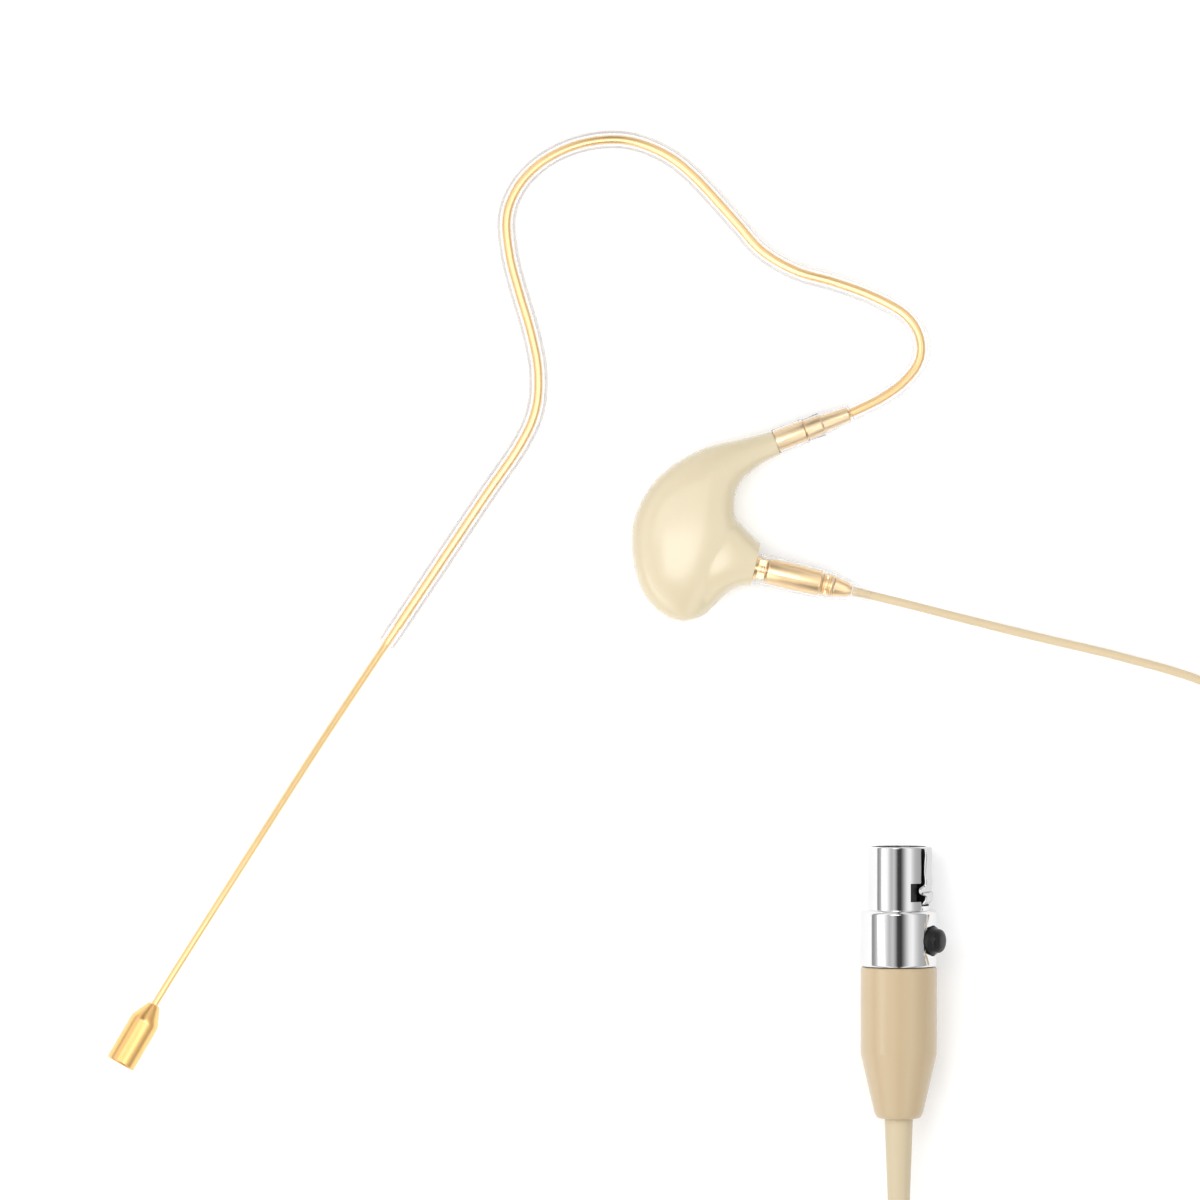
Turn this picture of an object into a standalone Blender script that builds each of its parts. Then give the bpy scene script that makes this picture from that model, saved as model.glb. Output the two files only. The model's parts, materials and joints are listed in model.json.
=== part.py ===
"""Ear-hook headset microphone with a four-contact cable connector.

The headset lies flat on z = 0 with its ear loop in the X-Y plane. The origin is under the middle of
the headset, without its cable. Lengths are written in millimetres and turned into metres by MM.
"""

import math

import bmesh
import bpy
from mathutils import Matrix, Vector

MM = 0.001

# Shared sizes, in millimetres.
MID_HEIGHT = 3.3          # height of the ear body's parting plane, the plug and the neck
SEAM_GAP = 0.2            # gap between the two halves of the ear body
BODY_WALL = 0.9           # wall of the ear body's halves
WIRE_RADIUS = 0.5         # ear-loop spring wire
SLEEVE_RADIUS = 1.22      # clear sleeve over the wire
SLEEVE_WALL = 0.36
BOOM_RADIUS = 0.475
CABLE_RADIUS = 0.55
CABLE_ON_TABLE = 0.6      # height of the cable's centre where it lies on the table
LOOP_ON_TABLE = 1.26      # height of the sleeve's centre where it lies on the table
CONNECTOR_RADIUS = 5.12   # wide part of the connector's shell
CONNECTOR_X = 50.22
LATCH_TURN = math.radians(30)   # the latch looks this far up from +X
COIL_CENTRE = (105.0, -45.0)
COIL_INNER = 6.9
COIL_OUTER = 11.7
COIL_BOTTOM = 0.45
COIL_TOP = 4.5

FINE = 28                 # sides of the larger turned pieces
COARSE = 16               # sides of the small turned pieces

# The plug's axis points out of the ear body's spout; the neck's axis points out of its neck.
PLUG_ANGLE = math.radians(-13.3)
PLUG_START = Vector((31.34, 4.31, MID_HEIGHT))
PLUG_AXIS = Vector((math.cos(PLUG_ANGLE), math.sin(PLUG_ANGLE), 0))
NECK_ANGLE = math.radians(20.7)
NECK_START = Vector((33.85, 21.0, MID_HEIGHT))
NECK_AXIS = Vector((math.cos(NECK_ANGLE), math.sin(NECK_ANGLE), 0))

# The capsule's axis runs from its open front back to the boom.
CAPSULE_FRONT = Vector((-52.63, -61.15, 5.87))
CAPSULE_BACK = Vector((-48.16, -53.40, 4.77))
CAPSULE_AXIS = (CAPSULE_BACK - CAPSULE_FRONT).normalized()

CONNECTOR_ORIGIN = Vector((CONNECTOR_X, 0, CONNECTOR_RADIUS))
LATCH_OUT = Vector((math.cos(LATCH_TURN), 0, math.sin(LATCH_TURN)))
LATCH_SIDE = Vector((-math.sin(LATCH_TURN), 0, math.cos(LATCH_TURN)))

# Ear loop, from the neck over the ear to the mouth of the sleeve.
LOOP_ROUTE = [
    (43.99, 24.84, MID_HEIGHT), (47.8, 26.7, 3.2), (50.9, 28.9, 3.0), (53.0, 31.7, 2.8),
    (53.1, 34.9, 2.6), (51.2, 37.9, 2.4), (47.0, 40.3, 2.2), (41.9, 42.2, 2.0), (36.8, 43.7, 1.8),
    (32.2, 46.4, 1.6), (28.6, 50.4, 1.45), (23.2, 56.3, 1.3), (19.1, 59.4, LOOP_ON_TABLE),
    (14.1, 61.1, LOOP_ON_TABLE), (8.9, 60.8, LOOP_ON_TABLE), (4.1, 58.9, LOOP_ON_TABLE),
    (0.4, 55.7, LOOP_ON_TABLE), (-1.6, 51.3, LOOP_ON_TABLE), (-1.3, 46.0, LOOP_ON_TABLE),
    (0.0, 40.9, LOOP_ON_TABLE), (1.5, 35.8, LOOP_ON_TABLE), (2.5, 30.6, LOOP_ON_TABLE),
    (2.2, 25.4, LOOP_ON_TABLE), (0.1, 20.6, LOOP_ON_TABLE), (-4.4, 14.0, LOOP_ON_TABLE),
    (-10.3, 5.2, LOOP_ON_TABLE), (-17.65, -5.78, LOOP_ON_TABLE),
]
BOOM_ROUTE = [
    (-17.84, -6.07, LOOP_ON_TABLE), (-26.95, -19.81, 1.6), (-37.09, -35.71, 2.67),
    (-44.62, -47.63, 3.98), (-48.16, -53.40, 4.77), (-49.05, -54.94, 4.99),
]
# Cable from the plug to the coil, then from the coil to the connector's tail.
LEAD_ROUTE = [
    (44.19, 1.27, MID_HEIGHT), (46.0, 0.84, MID_HEIGHT), (48.0, 0.36, 3.2), (52.0, -0.62, 2.7),
    (58.0, -2.15, 1.5), (64.5, -3.78, 0.8), (71.0, -5.35, CABLE_ON_TABLE),
    (80.0, -7.5, CABLE_ON_TABLE), (90.5, -10.6, CABLE_ON_TABLE), (101.0, -15.4, CABLE_ON_TABLE),
    (110.0, -23.0, CABLE_ON_TABLE), (115.7, -33.0, CABLE_ON_TABLE), (117.6, -45.0, CABLE_ON_TABLE),
]
TAIL_ROUTE = [
    (113.87, -53.87, CABLE_ON_TABLE), (110.7, -57.3, CABLE_ON_TABLE), (107.0, -62.1, CABLE_ON_TABLE),
    (102.8, -69.6, CABLE_ON_TABLE), (99.2, -78.2, CABLE_ON_TABLE), (94.6, -86.2, CABLE_ON_TABLE),
    (87.6, -92.6, CABLE_ON_TABLE), (79.0, -96.6, CABLE_ON_TABLE), (69.5, -98.1, 0.7),
    (61.0, -97.4, 1.3), (54.6, -94.6, 2.6), (51.0, -90.4, 4.1), (50.22, -86.6, 5.0),
    (50.22, -84.4, CONNECTOR_RADIUS),
]


def material(name, colour, roughness, metallic=0.0):
    """Plain finish of one kind of piece."""
    found = bpy.data.materials.get(name)
    if found:
        return found
    made = bpy.data.materials.new(name)
    made.use_nodes = True
    shader = made.node_tree.nodes["Principled BSDF"]
    shader.inputs["Base Color"].default_value = (*colour, 1.0)
    shader.inputs["Roughness"].default_value = roughness
    shader.inputs["Metallic"].default_value = metallic
    made.diffuse_color = (*colour, 1.0)
    return made


FINISHES = {
    "gold": ((0.83, 0.52, 0.20), 0.3, 1.0),
    "clear": ((0.93, 0.92, 0.90), 0.15, 0.0),
    "beige_gloss": ((0.79, 0.68, 0.46), 0.18, 0.0),
    "beige_satin": ((0.69, 0.52, 0.31), 0.35, 0.0),
    "pale_rubber": ((0.80, 0.70, 0.48), 0.5, 0.0),
    "cable_jacket": ((0.90, 0.78, 0.52), 0.5, 0.0),
    "chrome": ((0.75, 0.75, 0.77), 0.12, 1.0),
    "black": ((0.02, 0.02, 0.02), 0.35, 0.0),
    "white": ((0.80, 0.80, 0.78), 0.5, 0.0),
    "steel": ((0.60, 0.60, 0.62), 0.3, 1.0),
    "board": ((0.04, 0.16, 0.08), 0.4, 0.0),
}


def finish(obj, name):
    """Gives the object its own copy of a finish."""
    colour, roughness, metallic = FINISHES[name]
    obj.data.materials.append(material(obj.name + "_" + name, colour, roughness, metallic))


def collection(name, hidden=False):
    """Collection of the scene, made on first use."""
    found = bpy.data.collections.get(name)
    if not found:
        found = bpy.data.collections.new(name)
        bpy.context.scene.collection.children.link(found)
        found.hide_render = hidden
    return found


def place(obj, cutter=False):
    """Links an object among the parts or among the cutters."""
    if cutter:
        collection("cutters", hidden=True).objects.link(obj)
        obj.hide_render = True
        obj.display_type = "WIRE"
    else:
        collection("headset_microphone").objects.link(obj)
    return obj


def frame(origin, axis, side=Vector((0, 0, 1))):
    """Matrix whose Z runs along axis and whose X leans towards side, at an origin in millimetres."""
    z = axis.normalized()
    y = z.cross(side).normalized()
    x = y.cross(z)
    matrix = Matrix((x, y, z)).transposed().to_4x4()
    matrix.translation = origin * MM
    return matrix


def turned(name, profile, matrix, look=None, sides=COARSE, closed=False):
    """Turned piece: a profile of (radius, height) in millimetres, down its outer side, spun about Z."""
    mesh = bpy.data.meshes.new(name)
    obj = place(bpy.data.objects.new(name, mesh), cutter=look is None)
    shape = bmesh.new()
    corners = [shape.verts.new((radius * MM, 0, height * MM)) for radius, height in profile]
    for first, second in zip(corners, corners[1:]):
        shape.edges.new((first, second))
    if closed:
        shape.edges.new((corners[-1], corners[0]))
    shape.to_mesh(mesh)
    shape.free()
    spin = obj.modifiers.new("spin", "SCREW")
    spin.steps = sides
    spin.render_steps = sides
    spin.use_merge_vertices = True
    spin.merge_threshold = 0.00001
    obj.matrix_world = matrix
    if look:
        finish(obj, look)
    return obj


def tube_profile(outer, inner):
    """Closed profile of a hollow turned piece from its outer and inner sides, both top to bottom."""
    return list(outer) + list(reversed(inner))


def rounded(radius, top, bottom, edge):
    """Outer side of a solid cylinder with small chamfers, top to bottom, from axis to axis."""
    return [(0, top), (radius - edge, top), (radius, top - edge), (radius, bottom + edge),
            (radius - edge, bottom), (0, bottom)]


def smooth_route(points, spacing):
    """Evenly spaced points, in millimetres, on a smooth curve through the given ones."""
    knots = [Vector(point) for point in points]
    knots = [knots[0] * 2 - knots[1]] + knots + [knots[-1] * 2 - knots[-2]]
    fine = []
    substeps = 24
    for index in range(1, len(knots) - 2):
        before, start, end, after = knots[index - 1:index + 3]
        for substep in range(substeps):
            t = substep / substeps
            fine.append(0.5 * (2 * start + (end - before) * t
                               + (2 * before - 5 * start + 4 * end - after) * t ** 2
                               + (3 * start - before - 3 * end + after) * t ** 3))
    fine.append(knots[-2])
    length = sum((b - a).length for a, b in zip(fine, fine[1:]))
    step = length / max(1, round(length / spacing))
    evenly = [fine[0]]
    travelled = 0.0
    for a, b in zip(fine, fine[1:]):
        stretch = (b - a).length
        while travelled + stretch >= step * len(evenly) and len(evenly) * step < length - step / 2:
            evenly.append(a.lerp(b, (step * len(evenly) - travelled) / stretch))
        travelled += stretch
    evenly.append(fine[-1])
    return evenly


def route_curve(name, points, radius, caps=True):
    """Curve object with a round section along points given in millimetres."""
    data = bpy.data.curves.new(name, "CURVE")
    data.dimensions = "3D"
    data.bevel_depth = radius * MM
    data.bevel_resolution = 2
    data.use_fill_caps = caps
    spline = data.splines.new("POLY")
    spline.points.add(len(points) - 1)
    for knot, point in zip(spline.points, points):
        knot.co = (*(Vector(point) * MM), 1.0)
    return bpy.data.objects.new(name, data)


def wire(name, points, radius, look):
    """Solid round wire or cable."""
    obj = place(route_curve(name, points, radius))
    finish(obj, look)
    return obj


def hollow_wire(name, points, radius, wall, look):
    """Soft tube: an open round surface with a wall grown inwards."""
    curve = route_curve(name + "_route", points, radius, caps=False)
    place(curve)
    evaluated = curve.evaluated_get(bpy.context.evaluated_depsgraph_get())
    mesh = bpy.data.meshes.new_from_object(evaluated)
    obj = place(bpy.data.objects.new(name, mesh))
    bpy.data.objects.remove(curve)
    shape = bmesh.new()
    shape.from_mesh(mesh)
    bmesh.ops.remove_doubles(shape, verts=shape.verts, dist=0.00001)
    bmesh.ops.recalc_face_normals(shape, faces=shape.faces)
    shape.to_mesh(mesh)
    shape.free()
    thick = obj.modifiers.new("wall", "SOLIDIFY")
    thick.thickness = wall * MM
    thick.offset = -1
    mesh.materials.clear()
    finish(obj, look)
    return obj


def box(name, size, matrix, look=None, edge=0.0):
    """Block with its sides in millimetres, centred on the matrix; its edges may be rounded."""
    mesh = bpy.data.meshes.new(name)
    obj = place(bpy.data.objects.new(name, mesh), cutter=look is None)
    shape = bmesh.new()
    bmesh.ops.create_cube(shape, size=1.0)
    bmesh.ops.scale(shape, vec=Vector(size) * MM, verts=shape.verts)
    shape.to_mesh(mesh)
    shape.free()
    if edge:
        soft = obj.modifiers.new("edges", "BEVEL")
        soft.width = edge * MM
        soft.segments = 2
    obj.matrix_world = matrix
    if look:
        finish(obj, look)
    return obj


def boolean(obj, operation, other):
    """Joins, cuts or trims an object with another one."""
    step = obj.modifiers.new(operation.lower(), "BOOLEAN")
    step.operation = operation
    step.solver = "EXACT"
    step.object = other


def loft(name, sections, look=None):
    """Body through oval sections (x, y, half width, half thickness) along a line in the X-Y plane."""
    around = 20
    middles = [Vector((x, y, MID_HEIGHT)) for x, y, _, _ in sections]
    mesh = bpy.data.meshes.new(name)
    obj = place(bpy.data.objects.new(name, mesh), cutter=look is None)
    shape = bmesh.new()
    rings = []
    for index, (_, _, half_width, half_thickness) in enumerate(sections):
        ahead = middles[min(index + 1, len(middles) - 1)]
        behind = middles[max(index - 1, 0)]
        across = (ahead - behind).cross(Vector((0, 0, 1))).normalized()
        ring = []
        for turn in range(around):
            angle = 2 * math.pi * turn / around
            point = middles[index] + across * half_width * math.cos(angle)
            point.z += half_thickness * math.sin(angle)
            ring.append(shape.verts.new(point * MM))
        rings.append(ring)
    for first, second in zip(rings, rings[1:]):
        for turn in range(around):
            following = (turn + 1) % around
            shape.faces.new((first[turn], first[following], second[following], second[turn]))
    shape.faces.new(rings[0])
    shape.faces.new(rings[-1])
    bmesh.ops.recalc_face_normals(shape, faces=shape.faces)
    shape.to_mesh(mesh)
    shape.free()
    if look:
        finish(obj, look)
    return obj


# Oval sections of the ear body: the horn from its neck to the round bottom, and the spout.
HORN = [
    (33.9, 20.95, 1.6, 1.6), (31.7, 20.0, 2.0, 1.85), (29.3, 19.0, 2.6, 2.15), (27.1, 18.0, 3.4, 2.5),
    (25.5, 16.9, 4.0, 2.8), (24.4, 15.6, 4.8, 3.05), (23.4, 14.2, 5.5, 3.25), (22.7, 12.9, 6.0, 3.4),
    (22.2, 11.2, 6.5, 3.5), (21.9, 9.4, 6.8, 3.5), (21.8, 7.3, 6.9, 3.5), (21.7, 5.0, 6.6, 3.5),
    (21.6, 2.5, 5.8, 3.3), (21.5, 0.4, 4.6, 2.8), (21.5, -1.2, 3.3, 2.1), (21.4, -2.4, 1.8, 1.2),
]
SPOUT = [
    (24.2, 6.4, 5.4, 2.9), (26.63, 5.8, 6.1, 3.1), (28.40, 5.53, 4.53, 2.95), (29.87, 5.25, 3.54, 2.75),
    (31.30, 4.77, 2.76, 2.6),
]
NECK_SOLID_SECTIONS = 3   # the horn stays solid over these first sections


def thinner(sections, wall):
    """The same sections with a wall taken off all round."""
    return [(x, y, width - wall, thickness - wall) for x, y, width, thickness in sections]


def ear_body():
    """Two glued half shells, split across the middle of their thickness."""
    spout = loft("spout_form", SPOUT)
    cavity = loft("horn_cavity", thinner(HORN[NECK_SOLID_SECTIONS:-1], BODY_WALL))
    spout_cavity = loft("spout_cavity", thinner(SPOUT[:-1], BODY_WALL))
    socket_bore = turned("socket_bore", rounded(2.25, 3.0, -7.0, 0.1), frame(PLUG_START, PLUG_AXIS),
                         sides=FINE)
    neck_bore = turned("neck_bore", rounded(0.95, 3.0, -8.5, 0.1), frame(NECK_START, NECK_AXIS))
    block = (60, 60, 10)
    for name, low in (("ear_body_front", MID_HEIGHT + SEAM_GAP / 2), ("ear_body_rear", 0.0)):
        half = loft(name, HORN, "beige_gloss")
        high = low + block[2] if low else MID_HEIGHT - SEAM_GAP / 2
        side = box(name + "_side", (block[0], block[1], high - low),
                   Matrix.Translation(Vector((24, 9, (high + low) / 2)) * MM))
        boolean(half, "UNION", spout)
        boolean(half, "INTERSECT", side)
        for cutter in (cavity, spout_cavity, socket_bore, neck_bore):
            boolean(half, "DIFFERENCE", cutter)


def neck_pieces():
    """Stepped gold ferrule that grips the ear-loop wire, and its clear cover."""
    matrix = frame(NECK_START, NECK_AXIS)
    ferrule = tube_profile(
        [(0.95, 10.5), (1.1, 6.6), (1.25, 6.5), (1.3, 4.4), (1.35, 4.3), (1.4, 0.2), (0.8, 0.2), (0.8, -5.0)],
        [(0.62, 10.5), (0.62, 4.5), (0.5, 4.0), (0.5, -5.0)],
    )
    turned("neck_ferrule", ferrule, matrix, "gold", closed=True)
    cover = tube_profile(
        [(1.08, 10.4), (1.42, 6.7), (1.6, 6.5), (1.5, 4.4), (1.62, 4.2), (1.66, 0.2)],
        [(1.0, 10.4), (1.2, 6.7), (1.36, 6.5), (1.4, 4.4), (1.42, 4.2), (1.46, 0.2)],
    )
    turned("neck_cover", cover, matrix, "clear", closed=True)


def ear_loop():
    """Spring wire over the ear inside its soft clear sleeve."""
    points = smooth_route(LOOP_ROUTE, 2.7)
    wire("ear_loop_wire", points, WIRE_RADIUS, "gold")
    hollow_wire("ear_loop_sleeve", points, SLEEVE_RADIUS, SLEEVE_WALL, "clear")


def boom():
    """Thin boom with the microphone capsule at its end."""
    wire("boom_tube", smooth_route(BOOM_ROUTE, 5.0), BOOM_RADIUS, "gold")
    matrix = frame(CAPSULE_FRONT, CAPSULE_AXIS)
    housing = tube_profile(
        [(0.8, 8.95), (1.84, 6.75), (1.96, 6.4), (1.96, 0.1), (1.86, 0.0)],
        [(0.62, 8.95), (0.62, 6.3), (1.6, 5.9), (1.6, 0.0)],
    )
    turned("capsule_housing", housing, matrix, "gold", sides=FINE, closed=True)
    grille = turned("capsule_grille", rounded(1.5, 0.6, 0.25, 0.05), matrix, "gold", sides=24)
    for index in range(7):
        angle = math.tau * index / 6
        offset = Vector((math.cos(angle), math.sin(angle), 0)) * (0.85 if index < 6 else 0.0)
        hole = turned(f"grille_hole_{index + 1}", [(0, 1.0), (0.24, 1.0), (0.24, 0.0), (0, 0.0)],
                      matrix @ Matrix.Translation(offset * MM), sides=8)
        boolean(grille, "DIFFERENCE", hole)
    turned("capsule_dust_screen", rounded(1.48, 0.9, 0.72, 0.02), matrix, "black")
    turned("electret_element", rounded(1.2, 3.0, 1.05, 0.1), matrix, "steel")
    gasket = tube_profile([(1.48, 3.5), (1.48, 1.02)], [(1.32, 3.5), (1.32, 1.02)])
    turned("element_gasket", gasket, matrix, "black", closed=True)
    turned("element_board", rounded(1.2, 3.5, 3.12, 0.02), matrix, "board")


def inner_electrics():
    """Socket for the plug, the junction board and the leads between them."""
    matrix = frame(PLUG_START, PLUG_AXIS)
    barrel = tube_profile([(2.1, -0.15), (2.1, -6.6)], [(1.72, -0.15), (1.72, -6.6)])
    turned("socket_barrel", barrel, matrix, "gold", sides=20, closed=True)
    insulator = tube_profile([(1.58, -1.7), (1.58, -6.4)], [(0.82, -1.7), (0.82, -6.4)])
    turned("socket_insulator", insulator, matrix, "white", closed=True)
    contact = [(0.52, -1.9), (0.7, -1.9), (0.7, -7.4), (0, -7.4), (0, -6.2), (0.52, -6.0)]
    turned("socket_contact", contact, matrix, "gold", sides=12, closed=True)
    flat = Matrix.Translation(Vector((20.8, 6.2, MID_HEIGHT - 0.5)) * MM)
    box("junction_board", (5.0, 8.0, 0.6), flat, "board", edge=0.1)
    chip = Matrix.Translation(Vector((20.4, 5.0, MID_HEIGHT + 0.4)) * MM)
    box("board_capacitor", (1.6, 2.4, 0.9), chip, "white", edge=0.12)
    lead_height = MID_HEIGHT + 0.3
    wire("signal_lead", smooth_route([(25.0, 16.2, MID_HEIGHT), (23.4, 14.4, 3.5), (21.8, 11.5, lead_height),
                                      (21.2, 8.2, lead_height)], 1.2), 0.25, "cable_jacket")
    wire("socket_lead", smooth_route([(23.8, 6.1, MID_HEIGHT), (22.9, 6.3, 3.5),
                                      (21.9, 6.5, lead_height)], 0.8), 0.22, "cable_jacket")


def plug():
    """Cable plug at the spout under its clear cover."""
    matrix = frame(PLUG_START, PLUG_AXIS)
    turned("plug_pin", rounded(0.36, 1.0, -5.6, 0.15), matrix, "gold", sides=12)
    neck = tube_profile([(0.78, 3.4), (0.78, 1.35), (1.46, 1.3), (1.46, -1.3)],
                        [(0.5, 3.4), (0.5, 1.35), (0.5, 1.3), (0.5, -1.3)])
    turned("plug_neck", neck, matrix, "gold", closed=True)
    sleeve = tube_profile([(1.42, 8.95), (1.62, 8.7), (1.72, 6.0), (1.7, 3.2), (1.6, 1.5)],
                          [(0.95, 8.95), (0.95, 8.7), (0.95, 6.0), (0.95, 3.2), (0.95, 1.5)])
    turned("plug_sleeve", sleeve, matrix, "gold", sides=20, closed=True)
    ring = tube_profile(
        [(1.3, 10.5), (1.45, 10.4), (1.45, 10.1), (1.25, 10.0), (1.25, 9.8), (1.45, 9.7), (1.45, 9.2),
         (1.35, 9.1)],
        [(0.8, 10.5), (0.8, 9.1)],
    )
    turned("plug_ring", ring, matrix, "gold", sides=20, closed=True)
    cone = [(0, 12.9), (0.72, 12.9), (0.95, 12.2), (1.3, 10.65), (0.6, 10.65), (0.6, 12.0), (0, 12.2)]
    turned("plug_cone", cone, matrix, "gold")
    cover_outer = [(0.92, 15.6), (1.12, 13.2), (1.5, 12.0), (1.78, 10.4), (1.95, 8.0), (2.02, 5.0),
                   (2.0, 0.3)]
    cover = tube_profile(cover_outer, [(radius - 0.2, height) for radius, height in cover_outer])
    turned("plug_cover", cover, matrix, "clear", sides=20, closed=True)


def connector():
    """Four-contact cable connector: shell, insert, contacts, boot and strain-relief tail."""
    matrix = frame(CONNECTOR_ORIGIN, Vector((0, 1, 0)), LATCH_OUT)
    shell = turned("connector_shell", tube_profile(
        [(3.98, -32.5), (4.075, -32.6), (4.075, -40.9), (4.85, -40.9), (5.12, -41.15), (5.12, -48.15),
         (5.0, -48.3)],
        [(3.62, -32.5), (3.62, -32.6), (3.62, -41.6), (4.5, -42.2), (4.5, -48.3)],
    ), matrix, "chrome", sides=40, closed=True)
    slot = box("latch_slot", (2.4, 2.2, 7.4), matrix @ Matrix.Translation(Vector((4.2, 0, -36.6)) * MM))
    button_hole = turned("button_hole", rounded(2.05, 7.0, 3.0, 0.05),
                         frame(CONNECTOR_ORIGIN + Vector((0, -44.85, 0)), LATCH_OUT, Vector((0, 1, 0))),
                         sides=20)
    window = box("latch_window", (3.0, 5.2, 2.4), matrix @ Matrix.Translation(Vector((3.8, 0, -38.5)) * MM))
    boolean(shell, "DIFFERENCE", slot)
    boolean(shell, "DIFFERENCE", window)
    boolean(shell, "DIFFERENCE", button_hole)

    insert = turned("connector_insert", rounded(3.45, -32.8, -41.3, 0.12), matrix, "black", sides=32)
    channel = box("insert_channel", (4.0, 2.5, 12), matrix @ Matrix.Translation(Vector((4.2, 0, -36)) * MM))
    boolean(insert, "DIFFERENCE", channel)
    contact_ring = 2.3
    for index, degrees in enumerate((-84, 168, 57, None)):
        angle = math.radians(degrees) if degrees is not None else 0.0
        reach = contact_ring if degrees is not None else 0.0
        spot = matrix @ Matrix.Translation(Vector((math.cos(angle), math.sin(angle), 0)) * reach * MM)
        hole = turned(f"contact_hole_{index + 1}", rounded(0.84, -30, -43, 0.05), spot)
        boolean(insert, "DIFFERENCE", hole)
        contact = tube_profile([(0.68, -33.6), (0.68, -43.8)], [(0.48, -33.6), (0.48, -43.8)])
        turned(f"contact_{index + 1}", contact, spot, "gold", sides=12, closed=True)

    boot = tube_profile(
        [(4.9, -48.5), (5.05, -48.65), (5.05, -59.6), (4.95, -60.2), (3.25, -67.7), (2.85, -68.4)],
        [(3.9, -48.5), (3.9, -58.6), (2.05, -66.0), (2.05, -68.4)],
    )
    turned("connector_boot", boot, matrix, "beige_satin", sides=32, closed=True)
    tail = [(0, -58.0), (1.9, -58.0), (1.9, -68.0), (1.86, -68.8), (1.47, -79.4), (1.28, -83.6),
            (1.1, -84.0), (0, -84.0)]
    turned("strain_relief_tail", tail, matrix, "pale_rubber", sides=20)
    clamp = tube_profile([(3.6, -50.0), (3.6, -57.6)], [(2.9, -50.0), (2.9, -57.6)])
    turned("cable_clamp", clamp, matrix, "steel", sides=20, closed=True)
    retainer = tube_profile([(4.3, -47.3), (4.3, -48.1)], [(3.7, -47.3), (3.7, -48.1)])
    turned("insert_retainer", retainer, matrix, "steel", sides=20, closed=True)


def latch():
    """Spring strip with its tooth, and the push button that bends it inwards."""
    side = frame(CONNECTOR_ORIGIN, LATCH_SIDE, LATCH_OUT)
    middle = [
        (4.3, -32.75), (4.42, -33.6), (4.32, -34.7), (4.3, -35.9), (4.42, -36.9), (4.4, -37.6),
        (3.9, -38.1), (3.9, -38.5), (4.45, -38.8), (4.4, -39.6), (3.6, -40.1), (3.2, -40.6),
        (3.15, -43.0), (3.15, -46.2),
    ]
    data = bpy.data.curves.new("latch_spring", "CURVE")
    data.dimensions = "2D"
    data.fill_mode = "BOTH"
    data.extrude = 0.85 * MM
    half_thickness = 0.15
    ahead = []
    behind = []
    for index, point in enumerate(middle):
        before = Vector(middle[max(index - 1, 0)])
        after = Vector(middle[min(index + 1, len(middle) - 1)])
        along = (after - before).normalized()
        across = Vector((-along.y, along.x)) * half_thickness
        ahead.append(Vector(point) + across)
        behind.append(Vector(point) - across)
    outline = ahead + list(reversed(behind))
    spline = data.splines.new("POLY")
    spline.points.add(len(outline) - 1)
    for knot, (radius, height) in zip(spline.points, outline):
        knot.co = (radius * MM, height * MM, 0, 1)
    spline.use_cyclic_u = True
    strip = place(bpy.data.objects.new("latch_spring", data))
    strip.matrix_world = side
    finish(strip, "chrome")

    button = [(0, 6.6), (0.9, 6.55), (1.4, 6.3), (1.6, 5.9), (1.62, 5.5), (1.9, 5.25), (1.9, 3.85),
              (2.2, 3.8), (2.2, 3.5), (0, 3.5)]
    turned("latch_button", button,
           frame(CONNECTOR_ORIGIN + Vector((0, -44.85, 0)), LATCH_OUT, Vector((0, 1, 0))),
           "black", sides=20)


def cable():
    """Cable to the coil of spare length, the coil, its tie, and the cable to the connector."""
    wire("cable_lead", smooth_route(LEAD_ROUTE, 2.6), CABLE_RADIUS, "cable_jacket")
    wire("cable_tail", smooth_route(TAIL_ROUTE, 2.6), CABLE_RADIUS, "cable_jacket")
    upright = Matrix.Translation(Vector((*COIL_CENTRE, 0)) * MM)
    soft = 0.9
    coil = tube_profile(
        [(COIL_OUTER - soft, COIL_TOP), (COIL_OUTER, COIL_TOP - soft), (COIL_OUTER, COIL_BOTTOM + soft),
         (COIL_OUTER - soft, COIL_BOTTOM)],
        [(COIL_INNER + soft, COIL_TOP), (COIL_INNER, COIL_TOP - soft), (COIL_INNER, COIL_BOTTOM + soft),
         (COIL_INNER + soft, COIL_BOTTOM)],
    )
    turned("cable_coil", coil, upright, "cable_jacket", sides=32, closed=True)
    band = 0.35
    reach = (COIL_INNER + COIL_OUTER) / 2
    turn = Matrix.Rotation(math.radians(150), 4, "Z")
    opening = (COIL_OUTER - COIL_INNER + 0.3, 4.0, COIL_TOP - COIL_BOTTOM + 0.2)
    height = (COIL_TOP + COIL_BOTTOM) / 2
    spot = upright @ turn @ Matrix.Translation(Vector((reach, 0, height)) * MM)
    tie = box("coil_tie", (opening[0] + 2 * band, 2.4, opening[2] + 2 * band), spot, "black")
    boolean(tie, "DIFFERENCE", box("tie_opening", opening, spot))


def main():
    for obj in list(bpy.data.objects):
        bpy.data.objects.remove(obj)
    ear_body()
    neck_pieces()
    ear_loop()
    boom()
    inner_electrics()
    plug()
    connector()
    latch()
    cable()


main()
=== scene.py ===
"""Finished look of the ear-hook headset microphone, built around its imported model.

Lengths are written in millimetres and turned into metres by MM. The headset lies on z = 0.
"""

import json
import math
import random

import bmesh
import bpy
import numpy as np
from mathutils import Matrix, Vector


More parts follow.
